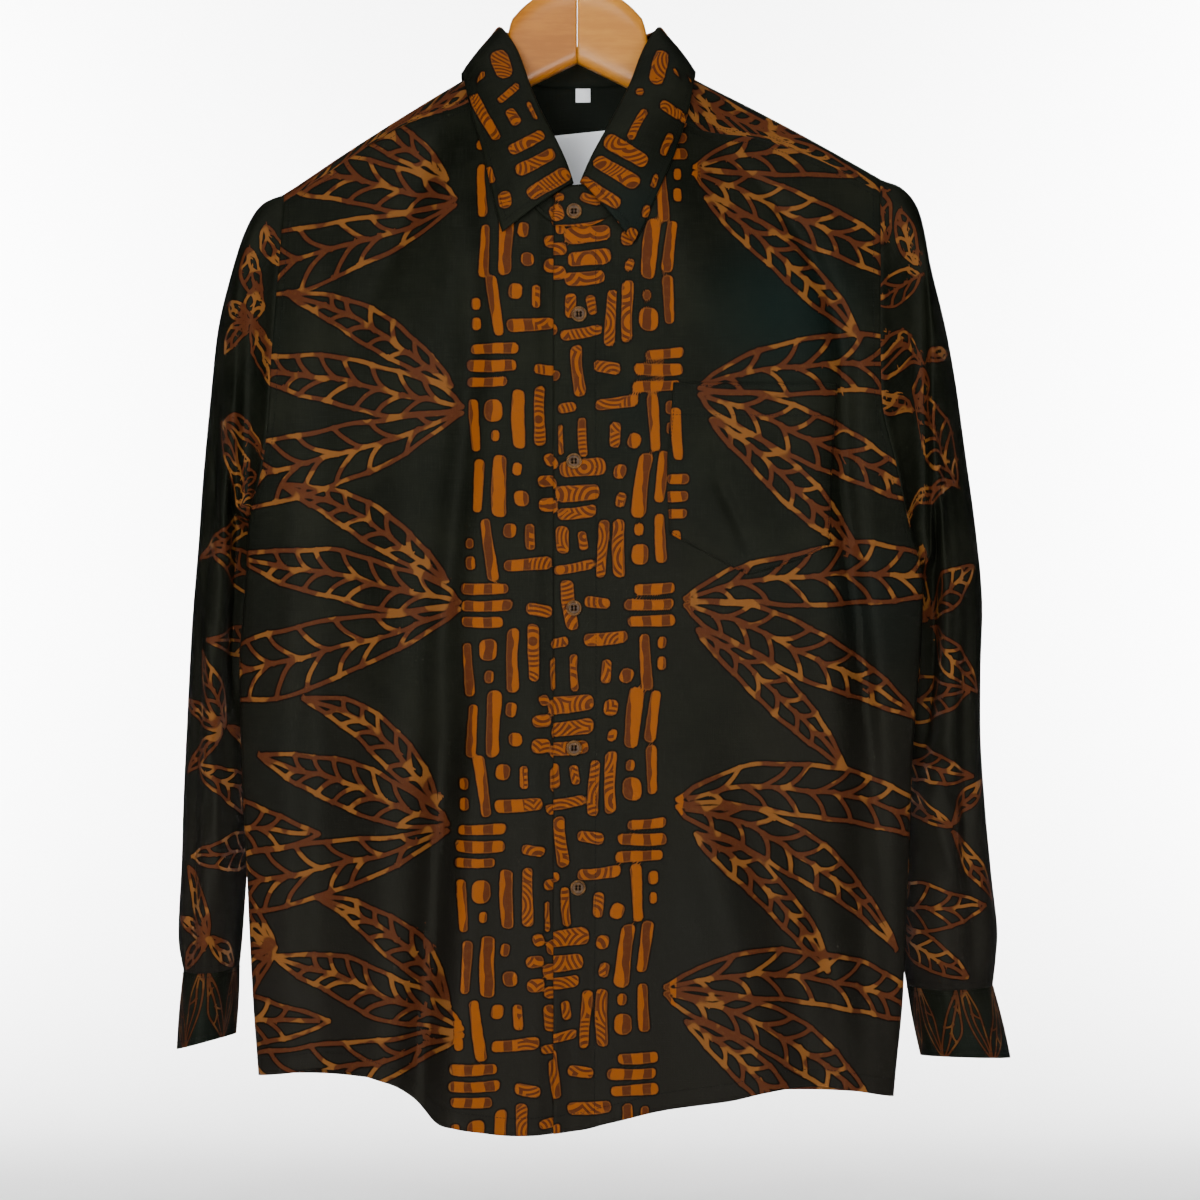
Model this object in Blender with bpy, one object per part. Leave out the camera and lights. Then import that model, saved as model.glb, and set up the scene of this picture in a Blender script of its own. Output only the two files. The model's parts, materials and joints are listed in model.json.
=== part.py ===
"""Long-sleeved batik shirt on a wooden hanger, buttoned up.

Millimetres in the tables, metres in the meshes. +Z is up, the front faces -Y, and the
origin is the inside top of the hook, where it rests on a rail.
Names say left and right as the wearer has them: the wearer's left is +X.
Each panel is a grid of points on the outer face of the cloth, given a wall inwards.
"""

import math

import bpy
import numpy as np

WALL = 1.2
COLLAR_WALL = 1.5
GAP = 0.2
PLACKET_HALF = 17.0
PLACKET_STEP = 2.6
BUTTON_DIA = 11.5
BUTTON_THICK = 2.6
RIDGE_RADIUS = 9.5
NECK_RADIUS = 36.0
FRONT_SLOPE = 0.28
BACK_SLOPE = 0.30
SECTION_POWER = 2.4
UNDERARM = {-1: -470.0, 1: -506.0}
TIP = {-1: (-222.5, -218.0), 1: (230.0, -206.6)}
HOOK_RADIUS = 22.0
HOOK_WIRE = 4.0
WOOD_TOP = -60.0

# z, left edge x, right edge x, depth of the front, depth of the back
TORSO = np.array([
    (-925, -238.5, 237.0, 59, 40),
    (-888, -240.4, 240.0, 59, 40),
    (-836, -244.2, 245.2, 60, 41),
    (-772, -247.6, 248.4, 61, 42),
    (-735, -249.2, 249.9, 61, 42),
    (-691, -251.8, 251.6, 62, 42),
    (-643, -253.6, 253.2, 63, 43),
    (-602, -254.6, 256.5, 64, 43),
    (-577, -255.0, 258.6, 64, 43),
    (-540, -252.6, 260.2, 65, 43),
    (-506, -249.4, 259.5, 65, 43),
    (-470, -246.9, 249.0, 65, 43),
    (-421, -234.6, 237.6, 64, 43),
    (-383, -230.3, 228.6, 63, 43),
    (-346, -228.6, 227.2, 61, 43),
    (-287, -225.2, 228.0, 59, 43),
    (-237, -222.6, 229.0, 57, 43),
    (-180, -221.0, 229.5, 56, 43),
    (-90, -221.0, 229.5, 56, 43),
], float)

# x, z of the line that the shoulders hang from
RIDGE = np.array([
    (-250, -234.0), (-222.5, -218.0), (-176, -187.2), (-130, -158.0), (-84.5, -130.8),
    (-68, -121.5), (-40, -106.0), (0, -98.0), (40, -105.5), (68, -119.5), (87, -130.0),
    (136, -154.8), (185, -181.2), (230, -206.6), (255, -221.0),
], float)

# x, z of the front hem
HEM = np.array([
    (-240, -884.8), (-215, -881.3), (-192, -878.3), (-168, -878.9), (-147, -883.1),
    (-132, -889.0), (-122, -897.5), (-113, -907.2), (-107, -913.0), (-90, -917.8),
    (-74, -920.6), (-54, -923.2), (-31, -923.2), (-17, -922.1), (6, -919.0),
    (20, -915.0), (32, -912.3), (54, -907.3), (96, -901.1), (115, -898.4),
    (141, -892.3), (154, -890.6), (179, -890.4), (187, -891.0), (210, -894.9),
    (242, -901.2),
], float)

# x, drop below the ridge of the seam between yoke and front
YOKE_FRONT = np.array([
    (-230, 7.0), (-176, 7.6), (-132, 8.2), (-87, 22.0), (-66, 26.0),
    (66, 42.0), (87, 41.0), (136, 23.0), (180, 14.0), (235, 12.0),
], float)

# x, z, side (1 front, -1 back) round the neck seam, from the front to the middle of the back
NECK = {
    -1: [(0, -249.6, 1), (-12, -248, 1), (-26, -240, 1), (-40, -223, 1), (-51, -201, 1),
         (-60, -174, 1), (-66, -147, 1), (-69.5, -122.8, 1), (-66, -124.5, -1),
         (-57, -126, -1), (-42, -128.5, -1), (-22, -130.8, -1), (0, -131.5, -1)],
    1: [(0, -249.6, 1), (12, -248, 1), (26, -240, 1), (41, -223, 1), (52, -204, 1),
        (60, -184, 1), (65.5, -160.5, 1), (69.5, -120.8, 1), (66, -123, -1),
        (57, -125.5, -1), (42, -128.5, -1), (22, -130.8, -1), (0, -131.5, -1)],
}
NECK_CORNER = 6
NECK_SIDE = 7

# x, y, z along the fold of the collar, from the front to the middle of the back
FOLD = {
    -1: [(-5.5, -57.0, -218), (-12, -54.5, -199), (-21.5, -49, -179), (-30, -43, -162),
         (-38.5, -32, -141), (-47.5, -19, -115), (-57.5, -4, -96.5), (-57.5, 13, -95),
         (-46, 28, -97), (-25, 37, -101), (0, 39.5, -102.5)],
    1: [(5.5, -57.0, -218), (14, -54.5, -198), (25, -49, -177), (34, -42, -159),
        (43, -31, -140), (52, -18.5, -115), (61, -4, -96.5), (60, 13, -95),
        (48, 28, -97), (25, 37, -101), (0, 39.5, -102.5)],
}
# x, z, side along the outer edge of the collar, one row to each row of FOLD
LEAF = {
    -1: [(-55, -253.4, 1), (-59.5, -237, 1), (-62.5, -222, 1), (-66, -206, 1),
         (-70, -188, 1), (-77, -162, 1), (-85.5, -134.5, 1), (-83, -138, -1),
         (-70, -147, -1), (-38, -155, -1), (0, -157.5, -1)],
    1: [(43, -262.0, 1), (51, -246, 1), (58.5, -227, 1), (66, -209, 1),
        (73, -190, 1), (81.5, -160, 1), (87.5, -133.5, 1), (84, -137, -1),
        (70, -147, -1), (38, -155, -1), (0, -157.5, -1)],
}
# way out and way up from the top of the stand, through the roll of the fall
ROLL = [(-1.5, 0.3), (-1.3, 2.2), (0.5, 3.6), (2.8, 3.0), (4.0, 0.8)]
ROLL_UNDER = [(0.0, 0.3), (0.1, 1.4), (0.7, 2.1), (1.6, 1.7), (2.5, 0.5)]
LEAF_LIFT = 2.2
CUFF_LAP = 2.8

# x and z at the top, x and z at the bottom, width, depth (minus is a valley), side
FOLDS = [
    (-88, -540, -119, -925, 13, -13, 1),
    (-66, -560, -86, -925, 20, 6, 1),
    (-146, -600, -160, -925, 22, 5, 1),
    (-200, -520, -205, -925, 20, -5, 1),
    (203, -260, 212, -590, 11, -5, 1),
    (212, -500, 222, -925, 13, -7, 1),
    (176, -620, 196, -925, 22, 5, 1),
    (70, -640, 74, -925, 30, -5, 1),
    (-190, -240, -196, -480, 16, -4, 1),
    (-120, -330, -100, -925, 34, -8, -1),
    (-40, -330, -30, -925, 34, 6, -1),
    (60, -330, 50, -925, 38, -8, -1),
    (140, -380, 150, -925, 34, 6, -1),
]

# outer x, outer y, outer z, inner x, inner y, inner z, half depth, end bulge
SLEEVE = {
    -1: [
        (-240.4, 2, -226.4, -251.5, -13, -467.5, 31),
        (-253.0, 5, -246.5, -255.0, -9, -469.5, 33),
        (-264.6, 10, -281.0, -256.4, -3, -475.5, 36),
        (-274.0, 16, -318.0, -255.6, 4, -485, 39),
        (-279.6, 22, -362.0, -253.6, 12, -498, 43),
        (-286.8, 28, -431.0, -252.0, 21, -515, 46),
        (-290.8, 33, -480.0, -251.2, 28, -537, 49),
        (-295.6, 36, -534.0, -252.0, 34, -564, 50),
        (-298.4, 38, -577.0, -251.4, 37, -592, 51),
        (-301.0, 38, -630.0, -251.0, 38, -634, 51),
        (-303.3, 38, -680.0, -252.5, 38, -682, 51),
        (-304.6, 38, -728.0, -255.0, 38, -729, 52),
        (-306.7, 38, -768.0, -257.6, 38, -768, 53),
        (-306.6, 38, -790.0, -259.3, 38, -790, 54),
        (-303.0, 38, -809.6, -261.2, 38, -807.6, 52),
    ],
    1: [
        (247.6, 2, -214.0, 263.0, -13, -503.5, 31),
        (260.6, 6, -232.0, 265.6, -9, -505.5, 33),
        (269.6, 9, -274.0, 266.8, -3, -511.5, 36),
        (280.6, 14, -317.0, 266.0, 4, -521, 39),
        (289.4, 20, -362.0, 264.2, 12, -534, 43),
        (296.8, 25, -411.3, 262.0, 21, -550, 46),
        (305.6, 30, -472.0, 259.6, 28, -568, 49),
        (311.0, 34, -526.0, 256.0, 34, -588, 50),
        (310.2, 37, -580.0, 254.0, 38, -614, 50),
        (310.4, 38, -634.0, 251.6, 38, -650, 50),
        (314.0, 38, -688.0, 250.0, 38, -694, 50),
        (319.0, 38, -740.0, 248.8, 38, -742, 50),
        (323.2, 38, -778.0, 248.8, 38, -780, 50),
        (322.2, 38, -800.0, 250.4, 38, -801, 49),
        (319.8, 38, -821.8, 253.8, 38, -822.4, 44),
    ],
}
# outer x and z, inner x and z, half depth at the bottom of each cuff
CUFF_END = {-1: (-308.2, -871.8, -264.0, -860.5, 54), 1: (333.5, -878.6, 264.5, -877.0, 45)}
CUFF_Y = 38.0

# angle, first row, last row, width in degrees, depth as a part of the section
SLEEVE_FOLDS = {
    -1: [(62, 4, 10, 17, -0.13), (122, 3, 14, 16, -0.13), (236, 3, 14, 18, -0.15),
         (300, 5, 14, 18, -0.12)],
    1: [(66, 4, 9, 17, -0.13), (118, 4, 14, 16, -0.15), (240, 3, 14, 18, -0.14),
        (296, 5, 14, 18, -0.12)],
}

BUTTONS = [(-2.0, -238.1), (1.7, -314.6), (-2.0, -423.5), (-2.0, -532.2), (-2.0, -635.7), (1.0, -739.4)]

# x, z round the pocket from its top left corner, then its half widths are read off row by row
POCKET_ROWS = [
    (-365.5, 71.6, 193.4), (-368.5, 71.4, 193.2), (-390, 69.6, 191.8), (-420, 67.2, 189.6),
    (-450, 67.4, 188.2), (-476, 69.0, 187.4),
]
POCKET_POINT = [(69.0, -477.2), (94, -490.5), (116.1, -502.3), (127.0, -507.6), (147, -502.0), (168, -495.2), (187.4, -485.0)]

# x, top z, bottom z, half thickness of the wooden hanger
WOOD = [
    (0.15, -59.6, -119.0, 9.6), (12, -60.9, -124.8, 9.6), (25, -65.2, -131.2, 9.5),
    (37, -72.9, -137.1, 9.4), (46, -81.6, -141.4, 9.2), (50.8, -89.0, -143.6, 9.0),
    (53.2, -100.0, -145.0, 8.8), (54.8, -113.0, -146.6, 8.6), (58.5, -122.0, -149.0, 8.2),
    (72, -129.0, -157.0, 7.5), (100, -145.4, -173.6, 6.8), (130, -164.2, -191.0, 6.6),
    (160, -183.3, -207.6, 6.4), (185, -199.2, -220.6, 6.2), (200, -209.0, -226.0, 5.8),
    (208, -216.0, -225.0, 4.0),
]
WOOD_PARTS = 12


def smooth(xs, ys, x):
    """Cubic through a table, flat beyond its ends."""
    xs = np.asarray(xs, float)
    ys = np.asarray(ys, float)
    x = np.clip(np.asarray(x, float), xs[0], xs[-1])
    slope = np.gradient(ys, xs)
    i = np.clip(np.searchsorted(xs, x, side="right") - 1, 0, len(xs) - 2)
    h = xs[i + 1] - xs[i]
    t = (x - xs[i]) / h
    a = (1 + 2 * t) * (1 - t) ** 2 * ys[i] + t * (1 - t) ** 2 * h * slope[i]
    return a + t * t * (3 - 2 * t) * ys[i + 1] + t * t * (t - 1) * h * slope[i + 1]


def step(a, b, x):
    t = np.clip((np.asarray(x, float) - a) / (b - a), 0, 1)
    return t * t * (3 - 2 * t)


def soft_min(a, b, k):
    return np.minimum(a, b) - np.maximum(k - np.abs(a - b), 0) ** 2 / (4 * k)


def edge_x(z, side):
    return smooth(TORSO[:, 0], TORSO[:, 1 if side < 0 else 2], z)


def ridge_z(x):
    return smooth(RIDGE[:, 0], RIDGE[:, 1], x)


def ridge_radius(x):
    away = np.maximum(np.abs(x) - 55, 0) / 42
    return RIDGE_RADIUS + (NECK_RADIUS - RIDGE_RADIUS) * np.exp(-away ** 2)


def bend(face):
    return math.atan(1 / (FRONT_SLOPE if face > 0 else BACK_SLOPE))


def over_ridge(rise, x, face):
    """How far out the cloth stands at this drop below the ridge."""
    r = ridge_radius(x)
    turn = bend(face)
    first = r * (1 - math.cos(turn))
    low = np.clip(np.minimum(rise, first), 0, None)
    arc = np.sqrt(np.clip(r * r - (r - low) ** 2, 0, None))
    return np.where(rise < first, arc, r * math.sin(turn) + (rise - first) / math.tan(turn))


def drop_of(t, x, face):
    r = ridge_radius(x)
    turn = bend(face)
    beyond = r * (1 - math.cos(turn)) + (t - r * turn) * math.sin(turn)
    return np.where(t < r * turn, r * (1 - np.cos(np.minimum(t / r, turn))), beyond)


def run_of(rise, x, face):
    r = ridge_radius(x)
    turn = bend(face)
    first = r * (1 - math.cos(turn))
    beyond = r * turn + (rise - first) / math.sin(turn)
    return np.where(rise < first, r * np.arccos(np.clip(1 - rise / r, -1, 1)), beyond)


def armhole(z, side):
    top = TIP[side][1]
    v = np.clip((top - z) / (top - UNDERARM[side]), 0, 1)
    return v, np.sqrt(1 - v) * (9 + 70 * v)


def folds(x, z, face):
    total = np.zeros(np.broadcast(x, z).shape)
    for x1, z1, x2, z2, width, depth, where in FOLDS:
        if where != face:
            continue
        part = np.clip((z1 - z) / (z1 - z2), 0, 1)
        centre = x1 + (x2 - x1) * part
        shape = np.exp(-((x - centre) / width) ** 2)
        total += depth * shape * step(0, 0.3, (z1 - z) / (z1 - z2))
    return total


def out(x, z, face, inset=0.0):
    """Depth of the outer face of the cloth: forward for the front, backward for the back."""
    xl, xr = edge_x(z, -1), edge_x(z, 1)
    s = np.clip((2 * x - xl - xr) / (xr - xl), -1, 1)
    near = np.where(s < 0, -1, 1)
    v = np.where(near < 0, armhole(z, -1)[0], armhole(z, 1)[0])
    hole = np.where(near < 0, armhole(z, -1)[1], armhole(z, 1)[1])
    depth = smooth(TORSO[:, 0], TORSO[:, 3 if face > 0 else 4], z)
    edge = face * 15 * v + hole
    power = 1 / (1.0 + 0.4 * step(0.7, 1.0, v))
    f = (1 - np.abs(s) ** SECTION_POWER) ** power
    body = edge + (depth - edge) * f
    crease = folds(x, z, face) * (1 - np.abs(s) ** 6)
    return soft_min(body, over_ridge(ridge_z(x) - z, x, face), 8) + crease - inset


def at(x, z, face, inset=0.0):
    return np.stack([x, -face * out(x, z, face, inset), z], -1)


def on_run(x, t):
    """A point of the yoke: t is the run of the cloth from the ridge, forward positive."""
    face = np.where(t >= 0, 1, -1)
    front = at(x, ridge_z(x) - drop_of(np.abs(t), x, 1), 1)
    back = at(x, ridge_z(x) - drop_of(np.abs(t), x, -1), -1)
    return np.where((face > 0)[..., None], front, back)


def curve(points, params):
    """Catmull-Rom through the points, at fractional positions."""
    p = np.asarray(points, float)
    u = np.clip(np.asarray(params, float), 0, len(p) - 1)
    i = np.clip(np.floor(u).astype(int), 0, len(p) - 2)
    t = (u - i)[:, None]
    a = p[np.maximum(i - 1, 0)]
    b, c = p[i], p[i + 1]
    d = p[np.minimum(i + 2, len(p) - 1)]
    a = np.where((i == 0)[:, None], 2 * b - c, a)
    d = np.where((i == len(p) - 2)[:, None], 2 * c - b, d)
    return 0.5 * (2 * b + (c - a) * t + (2 * a - 5 * b + 4 * c - d) * t ** 2 + (3 * b - a - 3 * c + d) * t ** 3)


def neck_runs(side):
    """The neck seam as (x, run) rows, from the middle of the front to the middle of the back."""
    rows = []
    for x, z, face in NECK[side]:
        rise = max(float(ridge_z(x)) - z, 0.0)
        run = float(run_of(rise, x, face))
        rows.append((x, 0.0 if abs(x) == 69.5 else face * run))
    return rows


def yoke_seam_z(x):
    drop = smooth(YOKE_FRONT[:, 0], YOKE_FRONT[:, 1], x)
    return ridge_z(x) - drop


def back_seam_z(x):
    return -238.0 - 50.0 * (np.abs(x) / 225.0) ** 2


def back_edge_x(z, side):
    v = armhole(z, side)[0]
    return edge_x(z, side) - side * 10 * np.sin(math.pi * v)


YOKE_M = 7
YOKE_FRONT_K = 3
HOLE_STEPS = (0, 0.03, 0.12, 0.35, 0.65, 1)
YOKE_HOLE_K = len(HOLE_STEPS) - 1
YOKE_BACK_K = 14
YOKE_K = 2 * (YOKE_FRONT_K + YOKE_HOLE_K) + YOKE_BACK_K
HOLE_ROWS = 8
SIDE_ROWS = 11
BACK_HOLE_ROWS = 6


def front_corner(side):
    """Where the seam between yoke and front meets the armhole: x and z."""
    z = TIP[side][1] - 8
    for _ in range(20):
        z = float(yoke_seam_z(edge_x(z, side)))
    return float(edge_x(z, side)), z


def back_corner(side):
    z = -285.0
    for _ in range(20):
        z = float(back_seam_z(back_edge_x(z, side)))
    return float(back_edge_x(z, side)), z


def hole_spacing(n, bias=1.35):
    """Fractions 0..1 that crowd towards 1, where the armhole turns under the arm."""
    return 1 - (1 - np.linspace(0, 1, n + 1)) ** bias


def front_top(side, n_neck, n_seam):
    """The top edge of a front as x and z, from the armhole to the front edge."""
    runs = neck_runs(side)[: NECK_CORNER + 1]
    inner = curve(runs, np.linspace(0, NECK_CORNER, n_neck + 1))[::-1]
    nx = inner[:, 0].copy()
    nz = ridge_z(nx) - drop_of(inner[:, 1], nx, 1)
    cx, cz = front_corner(side)
    sx = np.linspace(cx, nx[0], n_seam + 1)
    sz = yoke_seam_z(sx)
    sz[0] = cz
    sz = sz + (nz[0] - sz[-1]) * np.linspace(0, 1, n_seam + 1) ** 3
    lap = -side * PLACKET_HALF
    x = np.concatenate([sx[:-1], nx, [lap]])
    z = np.concatenate([sz[:-1], nz, [nz[-1] + 1.2]])
    return x, z


def front_grid(side, n_neck=6, n_seam=YOKE_M, hole_rows=HOLE_ROWS, side_rows=SIDE_ROWS):
    xt, zt = front_top(side, n_neck, n_seam)
    lap = -side * PLACKET_HALF
    a = (xt - xt[0]) / (lap - xt[0])
    zb_side = float(smooth(HEM[:, 0], HEM[:, 1], side * 239.0))
    rho_u = (zt[0] - UNDERARM[side]) / (zt[0] - zb_side)
    rho = np.concatenate([hole_spacing(hole_rows)[:-1] * rho_u, rho_u + (1 - rho_u) * np.linspace(0, 1, side_rows + 1)])
    xb = side * 239.0 + (lap - side * 239.0) * a
    zb = smooth(HEM[:, 0], HEM[:, 1], xb)
    zb[0] = zb_side
    z = zt[None, :] + (zb - zt)[None, :] * rho[:, None]
    ex = edge_x(z, side)
    a_row = (xt - edge_x(zt, side)) / (lap - edge_x(zt, side))
    a_row = a_row[None, :] + (a - a_row)[None, :] * rho[:, None]
    x = ex + (lap - ex) * a_row
    x[0, :] = xt
    inset = 0.0
    if side < 0:
        inset = PLACKET_STEP * step(-32, -19, x)
    return at(x, z, 1, inset)


def back_grid(n=YOKE_BACK_K, hole_rows=BACK_HOLE_ROWS, side_rows=SIDE_ROWS):
    ends = {s: back_corner(s) for s in (-1, 1)}
    f = back_spread(n)
    xt = ends[-1][0] + (ends[1][0] - ends[-1][0]) * f
    zt = back_seam_z(xt)
    columns = []
    for s in (-1, 1):
        zc = ends[s][1]
        zu = UNDERARM[s]
        zb = float(smooth(HEM[:, 0], HEM[:, 1], s * 239.0))
        hole = zc + (zu - zc) * hole_spacing(hole_rows)[:-1]
        columns.append(np.concatenate([hole, zu + (zb - zu) * np.linspace(0, 1, side_rows + 1)]))
    z_side = columns[0][:, None] + (columns[1] - columns[0])[:, None] * f[None, :]
    down = np.linspace(0, 1, z_side.shape[0])[:, None]
    z = z_side + (zt - z_side[0])[None, :] * (1 - down) ** 2 - 26 * (4 * f * (1 - f))[None, :] ** 3 * down ** 2
    xl, xr = back_edge_x(z, -1), back_edge_x(z, 1)
    x = xl + (xr - xl) * f[None, :]
    x[0] = xt
    return at(x, z, -1)


def back_spread(n):
    """Fractions across the back that crowd a little towards the sides."""
    f = np.linspace(0, 1, n + 1)
    return 0.5 - 0.5 * np.cos(math.pi * (0.12 + 0.76 * f)) / math.cos(math.pi * 0.12)


def ring_of_yoke(nf=YOKE_FRONT_K, nh=YOKE_HOLE_K, nb=YOKE_BACK_K):
    """Side and row of NECK for each column of the yoke."""
    last, turn = 12, NECK_SIDE + 1.8
    front = list(np.linspace(NECK_CORNER, NECK_SIDE, nf + 1)[:-1])
    hole = list(np.linspace(NECK_SIDE, turn, nh + 1)[:-1])
    across = np.linspace(-1, 1, nb + 1)
    middle = [(-1 if v <= 0 else 1, last - (last - turn) * abs(v)) for v in across]
    ends = front + hole
    return [(-1, u) for u in ends] + middle + [(1, u) for u in ends[::-1]]


def yoke_grid(m=YOKE_M, nf=YOKE_FRONT_K, nb=YOKE_BACK_K):
    """Rows run from the neck to the outer edge, columns from one front seam round the back to the other."""
    runs = {s: neck_runs(s) for s in (-1, 1)}
    inner = np.array([curve(runs[s], [u])[0] for s, u in ring_of_yoke()])
    outer = {}
    for s in (-1, 1):
        ex, ez = front_corner(s)
        t0 = float(run_of(float(ridge_z(ex)) - ez, ex, 1))
        tip_x, tip_z = TIP[s]
        part = [(ex + (tip_x - ex) * k / nf, t0 * (1 - k / nf)) for k in range(nf)]
        bz = back_corner(s)[1]
        for f in HOLE_STEPS[:-1]:
            z = tip_z + (bz - tip_z) * f
            x = tip_x + (float(back_edge_x(z, s)) - tip_x) * min(f * 8, 1)
            part.append((x, -float(run_of(max(float(ridge_z(x)) - z, 0.0), x, -1)) if f else 0.0))
        outer[s] = np.array(part)
    xl, xr = back_corner(-1)[0], back_corner(1)[0]
    bx = xl + (xr - xl) * back_spread(nb)
    bt = -run_of(ridge_z(bx) - back_seam_z(bx), bx, -1)
    around = np.concatenate([outer[-1], np.stack([bx, bt], -1), outer[1][::-1]])
    w = np.linspace(0, 1, m + 1)[:, None, None]
    xt = inner[None] * (1 - w) + around[None] * w
    grid = on_run(xt[..., 0], xt[..., 1])
    for s, col, nxt in ((-1, 0, 1), (1, -1, -2)):
        x, z = front_top(s, 6, m)
        seam = at(x[: m + 1], z[: m + 1], 1)[::-1]
        shift = seam - grid[:, col]
        grid[:, col] = seam
        grid[:, nxt] += shift * 0.5
    return grid


def loop_of(side, front, back, yoke):
    """The armhole as one loop of points from under the arm up the front and down the back."""
    nf, nh = YOKE_FRONT_K, YOKE_HOLE_K
    rise = front[HOLE_ROWS::-1, 0]
    row = yoke[-1]
    over = row[: nf + nh + 1] if side < 0 else row[::-1][: nf + nh + 1]
    fall = back[: BACK_HOLE_ROWS + 1, 0 if side < 0 else -1]
    return np.concatenate([rise, over[1:], fall[1:-1]])


def bump(angle, centre, width):
    away = (angle - centre + 180) % 360 - 180
    return np.exp(-(away / width) ** 2)


def oval(rows, angles, side, j):
    ox, oy, oz, ix, iy, iz, b = rows[j]
    r = (1 - np.cos(np.radians(angles))) / 2
    across = np.sin(np.radians(angles))
    squash = 1.0
    for centre, first, last, width, depth in SLEEVE_FOLDS[side]:
        on = step(first - 1, first + 2, j + 1) * (1 - step(last, last + 1.5, j + 1))
        squash = squash + depth * on * bump(angles, centre, width)
    mid = np.array([(ox + ix) / 2, (oy + iy) / 2, (oz + iz) / 2])
    p = np.stack([ix + (ox - ix) * r, iy + (oy - iy) * r - b * across, iz + (oz - iz) * r], -1)
    return mid + (p - mid) * np.asarray(squash)[:, None]


def sleeve_grid(side, loop):
    """Rows from the armhole to the cuff, columns round the arm from under it up the front."""
    rows = SLEEVE[side]
    low, top = loop[0], on_run(np.array(TIP[side][0]), np.array(0.0))
    axis = top - low
    r = np.clip((loop - low) @ axis / (axis @ axis), 0, 1)
    angle = np.degrees(np.arccos(1 - 2 * r))
    angle = np.where(loop[:, 1] > low[1] + (top[1] - low[1]) * r, 360 - angle, angle)
    angle[0] = 0.0
    even = np.arange(len(loop)) * 360.0 / len(loop)
    grid = [loop]
    for j in range(len(rows)):
        mix = step(0, 8, j + 1) if len(rows) == 15 else step(0, 0.55, (j + 1) / len(rows))
        grid.append(oval(rows, angle + (even - angle) * mix, side, j))
    return np.array(grid)


def cuff_grid(side, ring, rows=3):
    """An open band that laps itself at the back of the wrist."""
    n = len(ring)
    ox, oz, ix, iz, b = CUFF_END[side]
    angles = np.arange(n) * 360.0 / n
    r = (1 - np.cos(np.radians(angles))) / 2
    low = np.stack([ix + (ox - ix) * r, CUFF_Y - b * np.sin(np.radians(angles)), iz + (oz - iz) * r + 5 * np.sin(np.radians(angles))], -1)
    start = int(round(n * 0.76))
    order = [(start + k) % n for k in range(n + 2)]
    lift = np.zeros(n + 2)
    lift[-2:] = CUFF_LAP
    lift[-3] = CUFF_LAP * 0.4
    grid = []
    for k in range(rows + 1):
        line = ring + (low - ring) * k / rows
        away = line - line.mean(0)
        away[:, 2] = 0
        away /= np.linalg.norm(away, axis=1)[:, None]
        line = line + away * 0.8 * math.sin(math.pi * k / rows)
        grid.append(line[order] + away[order] * lift[:, None])
    return np.array(grid)


def fold_place(u):
    """The row of FOLD that stands over this row of NECK."""
    return np.interp(u, [0, NECK_CORNER, NECK_SIDE, 12], [0, 4.5, 6, 10])


def ring_places(n_neck=6):
    """Side and row of NECK for each column of the collar, without the two ends that lap."""
    front = [(-1, u) for u in np.linspace(0, NECK_CORNER, n_neck + 1)]
    back = ring_of_yoke()[1:-1]
    return front + back + [(1, u) for _, u in front[::-1]]


def collar_line(table, places):
    return np.array([curve(table[s], [fold_place(u)])[0] for s, u in places])


def collar_base(front_r, front_l, yoke):
    return np.concatenate([front_r[0, YOKE_M:][::-1], yoke[0, 1:-1], front_l[0, YOKE_M:]])


def stand_grid(base, rows=3):
    """Rows from the fold down to the neck seam, columns from the under end round to the upper end."""
    top = collar_line(FOLD, ring_places())
    left = np.arange(len(top)) < len(top) // 2
    top[:, 1] += PLACKET_STEP * step(-30, -19, top[:, 0]) * left
    under = top[0] + np.array([PLACKET_HALF + 5.5, 2.8, -1.6])
    over = top[-1] + np.array([-PLACKET_HALF - 5.5, -0.5, -1.6])
    top = np.concatenate([[under], top, [over]])
    grid = []
    for k in range(rows + 1):
        w = k / rows
        line = top + (base - top) * w
        away = line * np.array([1, 1.4, 0])
        away /= np.linalg.norm(away, axis=1)[:, None]
        grid.append(line + away * 1.0 * math.sin(math.pi * w))
    return np.array(grid)


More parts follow.
